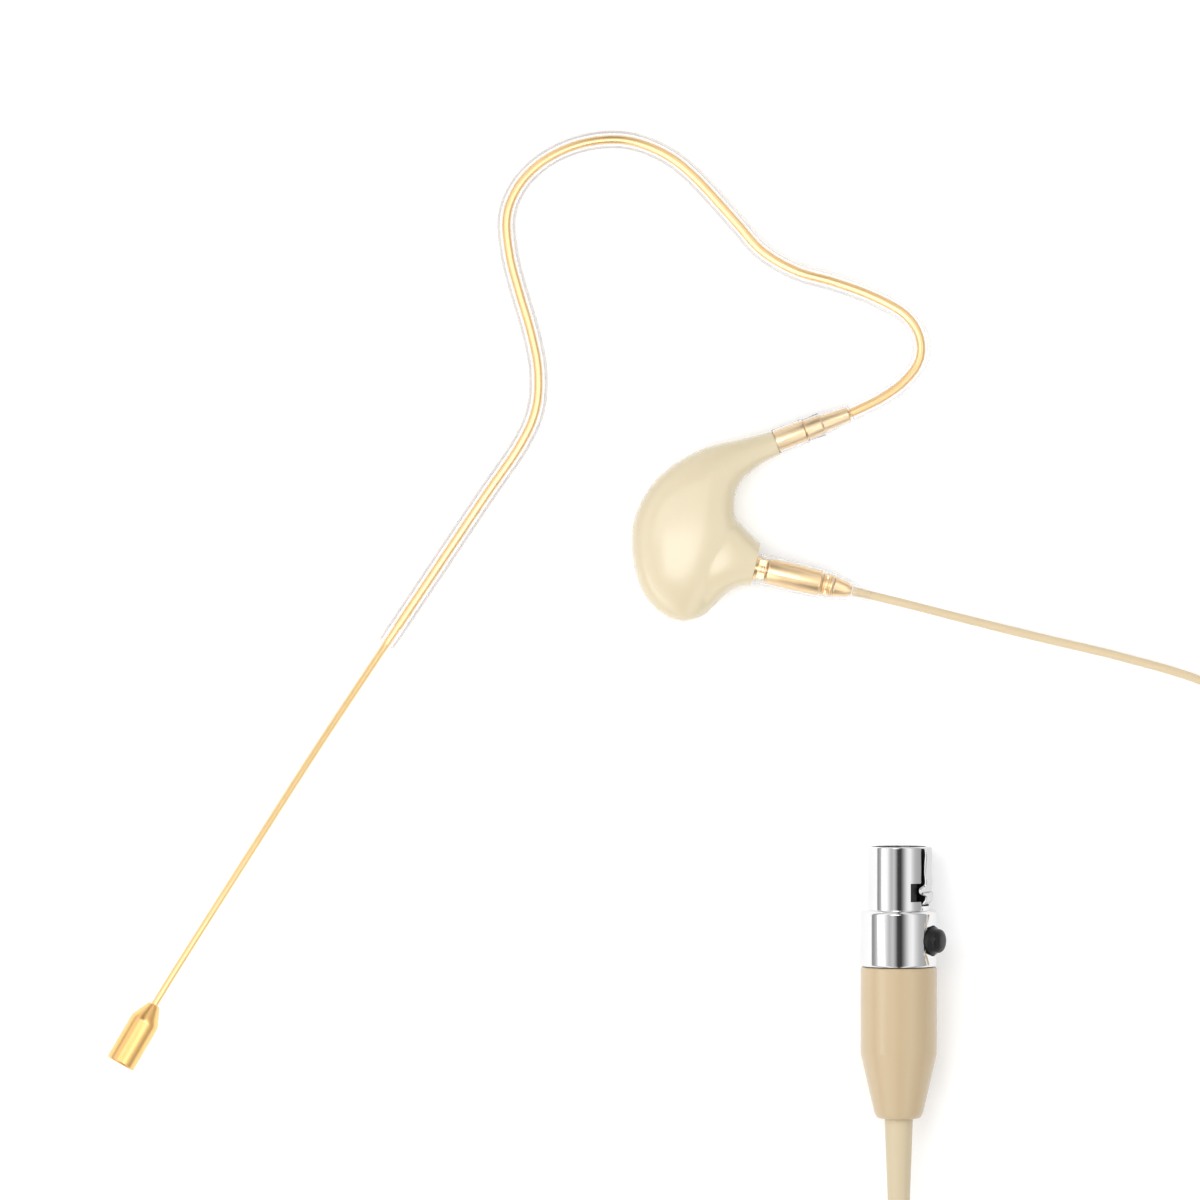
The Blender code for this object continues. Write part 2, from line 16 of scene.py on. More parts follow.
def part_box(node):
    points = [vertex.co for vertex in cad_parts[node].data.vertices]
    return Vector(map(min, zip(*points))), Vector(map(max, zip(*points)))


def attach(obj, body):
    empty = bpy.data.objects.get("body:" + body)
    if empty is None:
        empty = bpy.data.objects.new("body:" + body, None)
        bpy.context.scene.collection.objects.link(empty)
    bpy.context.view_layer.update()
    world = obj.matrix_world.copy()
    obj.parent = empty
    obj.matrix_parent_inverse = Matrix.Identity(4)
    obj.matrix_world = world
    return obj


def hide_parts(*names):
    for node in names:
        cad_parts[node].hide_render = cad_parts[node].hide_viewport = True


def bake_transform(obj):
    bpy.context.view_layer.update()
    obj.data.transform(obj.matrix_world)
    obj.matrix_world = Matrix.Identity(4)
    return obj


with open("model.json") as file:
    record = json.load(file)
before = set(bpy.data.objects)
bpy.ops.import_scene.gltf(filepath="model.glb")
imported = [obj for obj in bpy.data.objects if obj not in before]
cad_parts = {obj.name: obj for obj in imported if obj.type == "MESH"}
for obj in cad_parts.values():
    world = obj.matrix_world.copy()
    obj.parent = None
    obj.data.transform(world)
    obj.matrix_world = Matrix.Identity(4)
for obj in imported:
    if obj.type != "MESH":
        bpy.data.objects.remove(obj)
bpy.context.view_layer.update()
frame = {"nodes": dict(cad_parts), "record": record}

MM = 0.001

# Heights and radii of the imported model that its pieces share, in millimetres.
MID_HEIGHT = 3.3
LOOP_ON_TABLE = 1.26
CABLE_ON_TABLE = 0.6
CABLE_RADIUS = 0.55
WIRE_RADIUS = 0.56
SLEEVE_RADIUS = 1.22
BOOM_RADIUS = 0.47
COIL_CENTRE = Vector((105.0, -45.0, 0.0))
LATCH_TURN = math.radians(30)


def joint(name):
    """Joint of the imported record."""
    return next(j for j in frame["record"]["behaviour"]["joints"] if j["name"] == name)


CONNECTOR_ORIGIN = Vector((50.22, 0, 5.12))
FRONT_RIM = (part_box("connector_shell")[1] / MM).y
LATCH_OUT = Vector((math.cos(LATCH_TURN), 0, math.sin(LATCH_TURN)))
LATCH_SIDE = Vector((-math.sin(LATCH_TURN), 0, math.cos(LATCH_TURN)))
UP = Vector((0, 0, 1))
AHEAD = Vector((0, 1, 0))
PLUG_AXIS = Vector(joint("plug_pull")["axis"]).normalized()
PLUG_START = Vector((31.34, 4.31, MID_HEIGHT))
NECK_ANGLE = math.radians(20.7)
NECK_START = Vector((33.85, 21.0, MID_HEIGHT))
NECK_AXIS = Vector((math.cos(NECK_ANGLE), math.sin(NECK_ANGLE), 0))
SLEEVE_MOUTH = Vector(joint("boom_bend")["pos_m"]) / MM
CAPSULE_FRONT = Vector((-52.63, -61.15, 5.87))
CAPSULE_BACK = Vector((-48.16, -53.40, 4.77))
CAPSULE_AXIS = (CAPSULE_BACK - CAPSULE_FRONT).normalized()


def lying(height, *places):
    """Points at one height above the table."""
    return [(x, y, height) for x, y in places]


LOOP_ROUTE = [
    (43.99, 24.84, MID_HEIGHT), (47.8, 26.7, 3.2), (50.9, 28.9, 3.0), (53.0, 31.7, 2.8),
    (53.1, 34.9, 2.6), (51.2, 37.9, 2.4), (47.0, 40.3, 2.2), (41.9, 42.2, 2.0), (36.8, 43.7, 1.8),
    (32.2, 46.4, 1.6), (28.6, 50.4, 1.45), (23.2, 56.3, 1.3),
    *lying(LOOP_ON_TABLE, (19.1, 59.4), (14.1, 61.1), (8.9, 60.8), (4.1, 58.9), (0.4, 55.7), (-1.6, 51.3),
           (-1.3, 46.0), (0.0, 40.9), (1.5, 35.8), (2.5, 30.6), (2.2, 25.4), (0.1, 20.6), (-4.4, 14.0),
           (-10.3, 5.2), (-17.65, -5.78)),
]
BOOM_ROUTE = [
    (-14.2, -0.63, LOOP_ON_TABLE), (-17.84, -6.07, LOOP_ON_TABLE), (-26.95, -19.81, 1.6),
    (-37.09, -35.71, 2.67), (-44.62, -47.63, 3.98), (-48.16, -53.40, 4.77), (-49.05, -54.94, 4.99),
]
LEAD_ROUTE = [
    (44.19, 1.27, MID_HEIGHT), (46.0, 0.84, MID_HEIGHT), (48.0, 0.36, 3.2), (52.0, -0.62, 2.7),
    (58.0, -2.15, 1.5), (64.5, -3.78, 0.8),
    *lying(CABLE_ON_TABLE, (71.0, -5.35), (80.0, -7.5), (90.5, -10.6), (101.0, -15.4), (110.0, -23.0),
           (115.7, -33.0), (117.6, -45.0)),
]
TAIL_ROUTE = [
    *lying(CABLE_ON_TABLE, (113.87, -53.87), (110.7, -57.3), (107.0, -62.1), (102.8, -69.6),
           (99.2, -78.2), (94.6, -86.2), (87.6, -92.6), (79.0, -96.6)),
    (69.5, -98.1, 0.7), (61.0, -97.4, 1.3), (54.6, -94.6, 2.6), (51.0, -90.4, 4.1), (50.22, -86.6, 5.0),
    (50.22, -83.2, 5.12),
]


# -------- shapes

SHARP_ANGLE = math.radians(32)     # edges sharper than this stay crisp


def matrix_at(origin, axis, side=UP):
    """Matrix whose Z runs along axis and whose X leans towards side, at an origin in millimetres."""
    z = axis.normalized()
    y = z.cross(side).normalized()
    x = y.cross(z)
    matrix = Matrix((x, y, z)).transposed().to_4x4()
    matrix.translation = origin * MM
    return matrix


def moved(matrix, x, y, z):
    """The matrix moved along its own axes by millimetres."""
    return matrix @ Matrix.Translation(Vector((x, y, z)) * MM)


def add_object(name, mesh, matrix=None):
    """Links a mesh or curve as an object of the scene."""
    obj = bpy.data.objects.new(name, mesh)
    bpy.context.scene.collection.objects.link(obj)
    if matrix:
        obj.matrix_world = matrix
    return obj


def add_mesh(name, vertices, faces, matrix=None, sharp=SHARP_ANGLE):
    """Smooth-shaded mesh object from vertices in millimetres, with its sharper edges kept crisp."""
    mesh = bpy.data.meshes.new(name)
    mesh.from_pydata([Vector(v) * MM for v in vertices], [], faces)
    obj = add_object(name, mesh, matrix)
    shape = bmesh.new()
    shape.from_mesh(mesh)
    bmesh.ops.recalc_face_normals(shape, faces=shape.faces)
    shape.to_mesh(mesh)
    shape.free()
    shade(obj, sharp)
    return obj


def shade(obj, sharp=SHARP_ANGLE):
    """Smooth shading that keeps edges sharper than an angle."""
    obj.data.shade_smooth()
    obj.data.set_sharp_from_angle(angle=sharp)


def softened(profile, segments=4):
    """Profile with its corners rounded: each point is (radius, height) or (radius, height, rounding)."""
    path = []
    for index, point in enumerate(profile):
        here = Vector(point[:2])
        rounding = point[2] if len(point) > 2 else 0.0
        if not rounding or index in (0, len(profile) - 1):
            path.append(here)
            continue
        before = Vector(profile[index - 1][:2]) - here
        after = Vector(profile[index + 1][:2]) - here
        reach = min(rounding, before.length * 0.48, after.length * 0.48)
        start = here + before.normalized() * reach
        end = here + after.normalized() * reach
        for step in range(segments + 1):
            t = step / segments
            path.append(start * (1 - t) ** 2 + here * 2 * t * (1 - t) + end * t ** 2)
    return [(p.x, p.y) for p in path]


def joined(rings, closed=False):
    """Faces between neighbouring rings of vertices; a ring of one vertex is a point on the axis."""
    faces = []
    for first, second in zip(rings, rings[1:] + rings[:1] if closed else rings[1:]):
        sides = max(len(first), len(second))
        for side in range(sides if sides > 1 else 0):
            following = (side + 1) % sides
            if len(first) == 1:
                faces.append((first[0], second[side], second[following]))
            elif len(second) == 1:
                faces.append((first[side], second[0], first[following]))
            else:
                faces.append((first[side], second[side], second[following], first[following]))
    return faces


def lathe(name, profile, matrix, sides=72, closed=False, sharp=SHARP_ANGLE):
    """Turned piece from a profile of radius and height; a closed profile makes a ring or a tube."""
    path = softened(list(profile) + [profile[0]] if closed else profile)
    if closed:
        path = path[:-1]
    vertices = []
    rings = []
    for radius, height in path:
        if radius < 1e-6:
            rings.append([len(vertices)])
            vertices.append((0, 0, height))
            continue
        rings.append(range(len(vertices), len(vertices) + sides))
        for side in range(sides):
            angle = math.tau * side / sides
            vertices.append((radius * math.cos(angle), radius * math.sin(angle), height))
    return add_mesh(name, vertices, joined(rings, closed), matrix, sharp)


def curve_point(before, start, end, after, t):
    """Point a share t of the way from start to end on a smooth curve through four points."""
    return 0.5 * (2 * start + (end - before) * t
                  + (2 * before - 5 * start + 4 * end - after) * t ** 2
                  + (3 * start - before - 3 * end + after) * t ** 3)


def eased(t):
    """Share that starts and ends slowly."""
    return t * t * (3 - 2 * t)


def smooth_route(points, spacing):
    """Evenly spaced points, in millimetres, on a smooth curve through the given ones."""
    knots = [Vector(point) for point in points]
    knots = [knots[0] * 2 - knots[1]] + knots + [knots[-1] * 2 - knots[-2]]
    fine = []
    substeps = 24
    for index in range(1, len(knots) - 2):
        before, start, end, after = knots[index - 1:index + 3]
        for substep in range(substeps):
            fine.append(curve_point(before, start, end, after, substep / substeps))
    fine.append(knots[-2])
    length = sum((b - a).length for a, b in zip(fine, fine[1:]))
    step = length / max(1, round(length / spacing))
    evenly = [fine[0]]
    travelled = 0.0
    for a, b in zip(fine, fine[1:]):
        stretch = (b - a).length
        while travelled + stretch >= step * len(evenly) and len(evenly) * step < length - step / 2:
            evenly.append(a.lerp(b, (step * len(evenly) - travelled) / stretch))
        travelled += stretch
    evenly.append(fine[-1])
    return evenly


def path_frames(points):
    """Direction and two crossways directions at each point, turning as little as possible."""
    frames = []
    across = None
    for index, point in enumerate(points):
        ahead = points[min(index + 1, len(points) - 1)]
        behind = points[max(index - 1, 0)]
        along = (ahead - behind).normalized()
        if across is None:
            across = along.cross(UP).normalized()
        across = (across - along * across.dot(along)).normalized()
        frames.append((along, across, along.cross(across)))
    return frames


def sweep(name, points, radius, sides=20, inner=None, sharp=math.radians(40)):
    """Round rod or tube along points; radius is a number or a function of the share of the way along."""
    outline = radius if callable(radius) else lambda share: radius
    frames = path_frames(points)
    last = len(points) - 1
    sizes = [(index, outline(index / last)) for index in range(last + 1)]
    if inner:
        sizes += [(index, inner) for index in range(last, -1, -1)]
    vertices = []
    rings = []
    for index, size in sizes:
        _, across, up = frames[index]
        rings.append(range(len(vertices), len(vertices) + sides))
        for side in range(sides):
            angle = math.tau * side / sides
            vertices.append(points[index] + (across * math.cos(angle) + up * math.sin(angle)) * size)
    faces = joined(rings, closed=bool(inner))
    if not inner:
        faces += [tuple(rings[0]), tuple(rings[-1])]
    return add_mesh(name, vertices, faces, sharp=sharp)


def block(name, size, matrix):
    """Plain box: a cutter, the floor or the tie's head."""
    mesh = bpy.data.meshes.new(name)
    shape = bmesh.new()
    bmesh.ops.create_cube(shape, size=1.0)
    bmesh.ops.scale(shape, vec=Vector(size) * MM, verts=shape.verts)
    shape.to_mesh(mesh)
    shape.free()
    return add_object(name, mesh, matrix)


def combine(obj, operation, *others):
    """Boolean operations applied to the object; the other objects are used up."""
    for other in others:
        step = obj.modifiers.new("combine", "BOOLEAN")
        step.operation = operation
        step.solver = "EXACT"
        step.object = other
        settle(obj)
    for other in others:
        bpy.data.objects.remove(other)


def settle(obj):
    """Applies all modifiers of an object."""
    bpy.context.view_layer.update()
    evaluated = obj.evaluated_get(bpy.context.evaluated_depsgraph_get())
    mesh = bpy.data.meshes.new_from_object(evaluated)
    obj.modifiers.clear()
    obj.data = mesh


def ease_edges(obj, width, segments=3, angle=math.radians(40)):
    """Rounds the object's sharp edges."""
    soft = obj.modifiers.new("soft", "BEVEL")
    soft.width = width * MM
    soft.segments = segments
    soft.limit_method = "ANGLE"
    soft.angle_limit = angle
    settle(obj)
    shade(obj)


# -------- finishes

class Nodes:
    """Adds shader nodes to one material or world."""

    def __init__(self, owner, shader="Principled BSDF"):
        self.owner = owner
        owner.use_nodes = True
        self.tree = owner.node_tree
        self.shader = self.tree.nodes[shader]

    def add(self, kind, **settings):
        """New node with its settings."""
        node = self.tree.nodes.new(kind)
        for key, value in settings.items():
            setattr(node, key, value)
        return node

    def link(self, output, socket):
        """Connects an output to a socket."""
        self.tree.links.new(output, socket)

    def noise(self, scale, stretch=(1, 1, 1), detail=3.0):
        """Noise in the object's own coordinates; stretch presses it together along an axis."""
        where = self.add("ShaderNodeTexCoord")
        mapping = self.add("ShaderNodeMapping")
        mapping.inputs["Scale"].default_value = stretch
        noise = self.add("ShaderNodeTexNoise")
        noise.inputs["Scale"].default_value = scale
        noise.inputs["Detail"].default_value = detail
        self.link(where.outputs["Object"], mapping.inputs["Vector"])
        self.link(mapping.outputs["Vector"], noise.inputs["Vector"])
        return noise.outputs["Fac"]

    def spread(self, factor, low, high):
        """Maps a noise to the range from low to high."""
        spread = self.add("ShaderNodeMapRange")
        spread.inputs["From Min"].default_value = 0.3
        spread.inputs["From Max"].default_value = 0.7
        spread.inputs["To Min"].default_value = low
        spread.inputs["To Max"].default_value = high
        self.link(factor, spread.inputs["Value"])
        return spread.outputs["Result"]

    def mix(self, factor, first, second):
        """Colour that moves from first to second with the factor."""
        mix = self.add("ShaderNodeMix", data_type="RGBA")
        mix.inputs["A"].default_value = (*first, 1)
        mix.inputs["B"].default_value = (*second, 1)
        self.link(factor, mix.inputs["Factor"])
        return mix.outputs["Result"]

    def bump(self, height, depth):
        """Bump from a noise, with its depth in millimetres."""
        bump = self.add("ShaderNodeBump")
        bump.inputs["Distance"].default_value = depth * MM
        bump.inputs["Strength"].default_value = 0.1
        self.link(height, bump.inputs["Height"])
        self.link(bump.outputs["Normal"], self.shader.inputs["Normal"])


def shaded(colour, share):
    """The colour made darker or lighter by a share."""
    return tuple(min(1.0, part * share) for part in colour)


def solid_finish(name, colour, roughness, variation=0.04, rough_spread=0.05, grain=(1500, 0.002),
                 stretch=(1, 1, 1), metallic=0.0, coat=0.0, subsurface=0.0, ior=1.5, soft_scale=260):
    """Opaque finish with soft colour variation, uneven gloss and a fine surface grain."""
    nodes = Nodes(bpy.data.materials.new(name))
    cloud = nodes.noise(soft_scale)
    nodes.link(nodes.mix(cloud, shaded(colour, 1 - variation), shaded(colour, 1 + variation)),
               nodes.shader.inputs["Base Color"])
    fine = nodes.noise(grain[0], stretch)
    nodes.link(nodes.spread(fine, roughness - rough_spread, roughness + rough_spread),
               nodes.shader.inputs["Roughness"])
    nodes.bump(fine, grain[1])
    nodes.shader.inputs["Metallic"].default_value = metallic
    nodes.shader.inputs["Coat Weight"].default_value = coat
    nodes.shader.inputs["Coat Roughness"].default_value = 0.16
    nodes.shader.inputs["IOR"].default_value = ior
    if subsurface:
        nodes.shader.inputs["Subsurface Weight"].default_value = subsurface
        nodes.shader.inputs["Subsurface Radius"].default_value = (1.0, 0.6, 0.3)
        nodes.shader.inputs["Subsurface Scale"].default_value = 0.8 * MM
    return nodes.owner


def clear_finish(name, tint, edge_on_painted_shade, ior, roughness=0.05, ripple_depth=0.0004):
    """Clear soft plastic with slight ripples from moulding; its colour is painted greyer where the surface
    is seen edge-on, a painted shade for the dark edges of a clear tube.
    """
    nodes = Nodes(bpy.data.materials.new(name))
    # Painted shade: the colour moves from the clear tint to a grey as the surface turns edge-on.
    layer = nodes.add("ShaderNodeLayerWeight")
    layer.inputs["Blend"].default_value = 0.5
    edge = nodes.add("ShaderNodeMath", operation="POWER")
    edge.inputs[1].default_value = 3.0
    nodes.link(layer.outputs["Facing"], edge.inputs[0])
    nodes.link(nodes.mix(edge.outputs["Value"], tint, edge_on_painted_shade), nodes.shader.inputs["Base Color"])
    nodes.shader.inputs["Transmission Weight"].default_value = 1.0
    nodes.shader.inputs["IOR"].default_value = ior
    ripple = nodes.noise(420)
    nodes.link(nodes.spread(ripple, roughness * 0.6, roughness * 1.4), nodes.shader.inputs["Roughness"])
    nodes.bump(ripple, ripple_depth)
    light_path = nodes.add("ShaderNodeLightPath")
    let_through = nodes.add("ShaderNodeMapRange")
    let_through.inputs["To Min"].default_value = 1.0
    let_through.inputs["To Max"].default_value = 0.12
    nodes.link(light_path.outputs["Is Shadow Ray"], let_through.inputs["Value"])
    nodes.link(let_through.outputs["Result"], nodes.shader.inputs["Alpha"])
    return nodes.owner


TURNING = (0.05, 0.05, 1.0)     # grain in rings round a turned piece
PLATED = {"stretch": TURNING, "metallic": 1.0, "rough_spread": 0.015, "variation": 0.03}

FINISH = {
    "gold": solid_finish("gold_plating", (0.91, 0.56, 0.22), 0.30, grain=(5000, 0.00008), **PLATED),
    "gold_plug": solid_finish("gold_plug", (0.93, 0.69, 0.41), 0.30, grain=(5000, 0.00008), **PLATED),
    "gold_wire": solid_finish(
        "gold_wire", (0.93, 0.66, 0.33), 0.31, grain=(1800, 0.00006), metallic=1.0, rough_spread=0.02),
    "gold_neck": solid_finish("gold_neck", (0.92, 0.72, 0.47), 0.30, grain=(5000, 0.00012), **PLATED),
    "gold_contact": solid_finish(
        "gold_contact", (0.95, 0.66, 0.28), 0.2, grain=(5000, 0.0001), stretch=TURNING, metallic=1.0,
        rough_spread=0.03),
    # The second colour of each clear finish is a painted shade for the edges seen edge-on.
    "sleeve": clear_finish("clear_sleeve", (0.98, 0.965, 0.955), (0.42, 0.42, 0.42), 1.33),
    "cover": clear_finish("clear_cover", (0.975, 0.965, 0.95), (0.38, 0.37, 0.36), 1.38),
    "body": solid_finish(
        "ear_body_gloss", (0.635, 0.55, 0.378), 0.24, grain=(500, 0.0001), coat=0.6, variation=0.012,
        rough_spread=0.015, subsurface=0.08, soft_scale=120),
    "boot": solid_finish(
        "boot_satin", (0.52, 0.40, 0.245), 0.31, grain=(1500, 0.0003), coat=0.4, variation=0.012,
        rough_spread=0.015),
    "tail": solid_finish(
        "tail_rubber", (0.58, 0.485, 0.325), 0.42, grain=(2200, 0.0006), variation=0.02),
    "cable": solid_finish(
        "cable_jacket", (0.66, 0.53, 0.34), 0.40, grain=(2200, 0.0006), variation=0.02),
    "chrome": solid_finish(
        "chrome_plating", (0.745, 0.745, 0.755), 0.07, grain=(3000, 0.00005), stretch=TURNING,
        metallic=1.0, rough_spread=0.015, variation=0.01),
    "spring": solid_finish(
        "spring_steel", (0.60, 0.60, 0.61), 0.14, grain=(1800, 0.0002), metallic=1.0, rough_spread=0.04,
        variation=0.02),
    "insert": solid_finish(
        "insert_moulding", (0.014, 0.014, 0.015), 0.42, grain=(2500, 0.0015), variation=0.2,
        rough_spread=0.08),
    "button": solid_finish(
        "button_moulding", (0.006, 0.006, 0.007), 0.33, grain=(1800, 0.0008), variation=0.2,
        rough_spread=0.04, ior=1.38),
    "screen": solid_finish(
        "dust_screen_cloth", (0.02, 0.02, 0.02), 0.9, grain=(6000, 0.01), variation=0.3),
    "white": solid_finish("insulator_plastic", (0.78, 0.77, 0.72), 0.4, grain=(1800, 0.0008)),
    "steel": solid_finish(
        "plain_steel", (0.56, 0.56, 0.58), 0.33, grain=(2600, 0.0006), metallic=1.0, rough_spread=0.04),
    "board": solid_finish("circuit_board", (0.03, 0.15, 0.07), 0.35, variation=0.15, grain=(1800, 0.002),
                          coat=0.3),
    "rubber": solid_finish("black_rubber", (0.03, 0.03, 0.03), 0.6, grain=(2200, 0.002), variation=0.2),
    "tie": solid_finish("tie_plastic", (0.02, 0.02, 0.022), 0.4, grain=(1800, 0.0015), variation=0.2),
}


def even_shading(obj):
    """Lets the large faces decide the shading, so that long turned sides reflect straight."""
    even = obj.modifiers.new("even", "WEIGHTED_NORMAL")
    even.keep_sharp = True
    even.weight = 80
    settle(obj)


def dress(obj, finish, body, *replaced, slot=None):
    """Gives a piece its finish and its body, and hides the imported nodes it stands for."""
    if obj.type == "MESH":
        even_shading(obj)
    obj.data.materials.clear()
    obj.data.materials.append(FINISH[finish])
    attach(obj, body)
    if replaced:
        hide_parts(*replaced)
    return obj


def turned(node, profile, matrix, finish, body, slot, sides=72, closed=True, sharp=SHARP_ANGLE):
    """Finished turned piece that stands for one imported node."""
    piece = lathe(node + "_skin", profile, matrix, sides, closed, sharp)
    return dress(piece, finish, body, node, slot=slot)


# -------- camera, floor and light

# Brightness of the surroundings by degrees from straight up, from the left (-90) to the right (90).
STUDIO_BANDS = [
    (-90, 0.28), (-83, 0.30), (-76, 0.45), (-66, 0.85), (-47, 0.98), (-38, 0.66), (-31, 0.46),
    (-20, 0.56), (-12, 0.30), (-6, 0.05), (5, 0.04), (12, 0.20), (20, 0.48), (29, 0.80), (40, 0.90),
    (50, 0.66), (62, 0.45), (78, 0.38), (90, 0.36),
]
VIEW_WIDTH = 159.0
VIEW_CENTRE = Vector((10.73, 0.07, 3.0))
LENS = 200.0


def add_camera():
    """Camera straight above, as in the photograph."""
    data = bpy.data.cameras.new("camera")
    data.lens = LENS
    data.clip_end = 20.0
    camera = add_object("camera", data)
    distance = VIEW_WIDTH * LENS / data.sensor_width
    camera.location = (VIEW_CENTRE + UP * distance) * MM
    bpy.context.scene.camera = camera


def add_floor():
    """Plain white paper under the object."""
    floor = block("floor", (6000, 6000, 2), moved(Matrix(), 0, 0, -1.05))
    nodes = Nodes(bpy.data.materials.new("floor_paper"))
    cloud = nodes.noise(40)
    nodes.link(nodes.mix(cloud, (0.80, 0.80, 0.80), (0.82, 0.82, 0.82)), nodes.shader.inputs["Base Color"])
    nodes.shader.inputs["Emission Color"].default_value = (1, 1, 1, 1)
    nodes.shader.inputs["Emission Strength"].default_value = 0.22
    nodes.shader.inputs["Roughness"].default_value = 0.9
    nodes.shader.inputs["Specular IOR Level"].default_value = 0.1
    floor.data.materials.append(nodes.owner)


def add_area(name, place, size, strength, seen=True, turn=0.0, target=None):
    """Soft box at a place in millimetres; strength is its radiance. It can be left out of reflections."""
    data = bpy.data.lights.new(name, "AREA")
    data.shape = "RECTANGLE"
    data.size, data.size_y = size[0] * MM, size[1] * MM
    data.energy = strength * data.size * data.size_y * math.pi
    light = add_object(name, data)
    light.location = Vector(place) * MM
    if target:
        light.rotation_euler = (Vector(target) - Vector(place)).to_track_quat("-Z", "Y").to_euler()
    else:
        light.rotation_euler = (0, 0, math.radians(turn))
    light.visible_glossy = seen
    light.visible_camera = False


def add_world():
    """Studio surroundings: soft bands to the left and right, plain white where the camera looks."""
    world = bpy.data.worlds.new("studio")
    bpy.context.scene.world = world
    nodes = Nodes(world, "Background")
    where = nodes.add("ShaderNodeTexCoord")
    parts = nodes.add("ShaderNodeSeparateXYZ")
    nodes.link(where.outputs["Generated"], parts.inputs["Vector"])
    angle = nodes.add("ShaderNodeMath", operation="ARCTAN2")
    nodes.link(parts.outputs["X"], angle.inputs[0])
    nodes.link(parts.outputs["Z"], angle.inputs[1])
    share = nodes.add("ShaderNodeMapRange")
    share.inputs["From Min"].default_value = -math.pi / 2
    share.inputs["From Max"].default_value = math.pi / 2
    nodes.link(angle.outputs["Value"], share.inputs["Value"])
    ramp = nodes.add("ShaderNodeValToRGB")
    nodes.link(share.outputs["Result"], ramp.inputs["Fac"])
    elements = ramp.color_ramp.elements
    while len(elements) < len(STUDIO_BANDS):
        elements.new(0.5)
    for element, (degrees, level) in zip(elements, STUDIO_BANDS):
        element.position = (degrees + 90) / 180
        element.color = (level, level, level, 1)
    camera_ray = nodes.add("ShaderNodeLightPath")
    mix = nodes.add("ShaderNodeMix", data_type="RGBA")
    mix.inputs["B"].default_value = (0.75, 0.75, 0.75, 1)
    nodes.link(camera_ray.outputs["Is Camera Ray"], mix.inputs["Factor"])
    nodes.link(ramp.outputs["Color"], mix.inputs["A"])
    nodes.link(mix.outputs["Result"], nodes.shader.inputs["Color"])
    nodes.shader.inputs["Strength"].default_value = 1.33


def add_lights():
    """Soft diffuse light from above and from the lower left, and small boxes over the gold parts."""
    add_area("overhead_fill", (10, 0, 900), (1600, 1600), 0.66, seen=False)
    add_area("lower_left_fill", (-420, -520, 620), (520, 520), 1.5, seen=False, target=(10, 0, 0))
    add_area("headset_box", (0, 40, 200), (130, 64), 1.5)
    add_area("body_box", (16, -6, 150), (56, 38), 4.0)
    add_area("capsule_box", (-48, -48, 62), (84, 40), 1.2, turn=-30)


# -------- cable

COIL_TURNS = 16
COIL_COLUMNS = 4
COIL_ROWS = 4
COIL_EXIT = (12.72, 3.5)      # radius and height at which the last turn slips off the others


def coil_slots():
    """Radius and height of each turn: rows from the table up, filled outwards and inwards by turns."""
    first_radius = 7.6
    first_height = CABLE_ON_TABLE + 0.4
    pitch = 1.14
    row_rise = 0.97
    slots = []
    for row in range(COIL_ROWS):
        shift = 0.5 * pitch if row % 2 else 0.0
        columns = [first_radius + shift + pitch * column for column in range(COIL_COLUMNS)]
        if row % 2 == 0:
            columns.reverse()
        slots += [(radius, first_height + row_rise * row) for radius in columns]
    return slots[:COIL_TURNS]


def round_coil(angle, radius, height):
    """Point round the middle of the coil."""
    return COIL_CENTRE + Vector((math.cos(angle) * radius, math.sin(angle) * radius, height))


def coil_points():
    """Turns of the spare length, clockwise seen from above, from the end of the lead to the tail."""
    draw = random.Random(7)
    slots = coil_slots()
    per_turn = 36
    greatest_sway = 0.08
    entry = (Vector(LEAD_ROUTE[-1]) - COIL_CENTRE).length
    points = []
    wobble = [(draw.uniform(-greatest_sway, greatest_sway), draw.uniform(0, math.tau)) for _ in slots]
    start_blend = 5
    cross_over = 6
    for turn, (radius, height) in enumerate(slots):
        following = slots[turn + 1] if turn + 1 < len(slots) else COIL_EXIT
        sway, phase = wobble[turn]
        for step in range(per_turn):
            along = step / per_turn
            size = radius + sway * math.sin(math.pi * along) * math.sin(math.tau * along + phase)
            rise = height
            if step >= per_turn - cross_over:
                ease = eased((step - per_turn + cross_over) / cross_over)
                size = radius + (following[0] - radius) * ease
                rise = height + (following[1] - height) * ease
            if turn == 0 and step < start_blend:
                ease = eased(step / start_blend)
                size = entry + (radius - entry) * ease
                rise = CABLE_ON_TABLE + (height - CABLE_ON_TABLE) * ease
            points.append(round_coil(-math.tau * along, size, rise))
    return points


def leave_coil():
    """The cable comes down the outside of the coil to the table."""
    radius, height = COIL_EXIT
    leave = Vector(TAIL_ROUTE[0]) - COIL_CENTRE
    end_radius = leave.xy.length
    end_angle = math.atan2(leave.y, leave.x)
    steps = 8
    points = []
    for step in range(steps):
        t = step / steps
        size = radius + (end_radius - radius) * eased(t)
        rise = height + (CABLE_ON_TABLE - height) * eased(t)
        points.append(round_coil(end_angle * t, size, rise))
    return points


def add_cable():
    """The whole cable as one smooth curve: lead, coil of spare length, and the run to the connector."""
    lead = smooth_route(LEAD_ROUTE, 1.6)[:-1]
    route = lead + coil_points() + leave_coil() + smooth_route(TAIL_ROUTE, 1.6)
    data = bpy.data.curves.new("cable", "CURVE")
    data.dimensions = "3D"
    data.bevel_depth = CABLE_RADIUS * MM
    data.bevel_resolution = 4
    data.use_fill_caps = True
    spline = data.splines.new("POLY")
    spline.points.add(len(route) - 1)
    for knot, point in zip(spline.points, route):
        knot.co = (*(point * MM), 1.0)
    spline.use_smooth = True
    cable = add_object("cable", data)
    dress(cable, "cable", "cable", "cable_lead", "cable_coil", "cable_tail", slot="cable_jacket")
    return cable


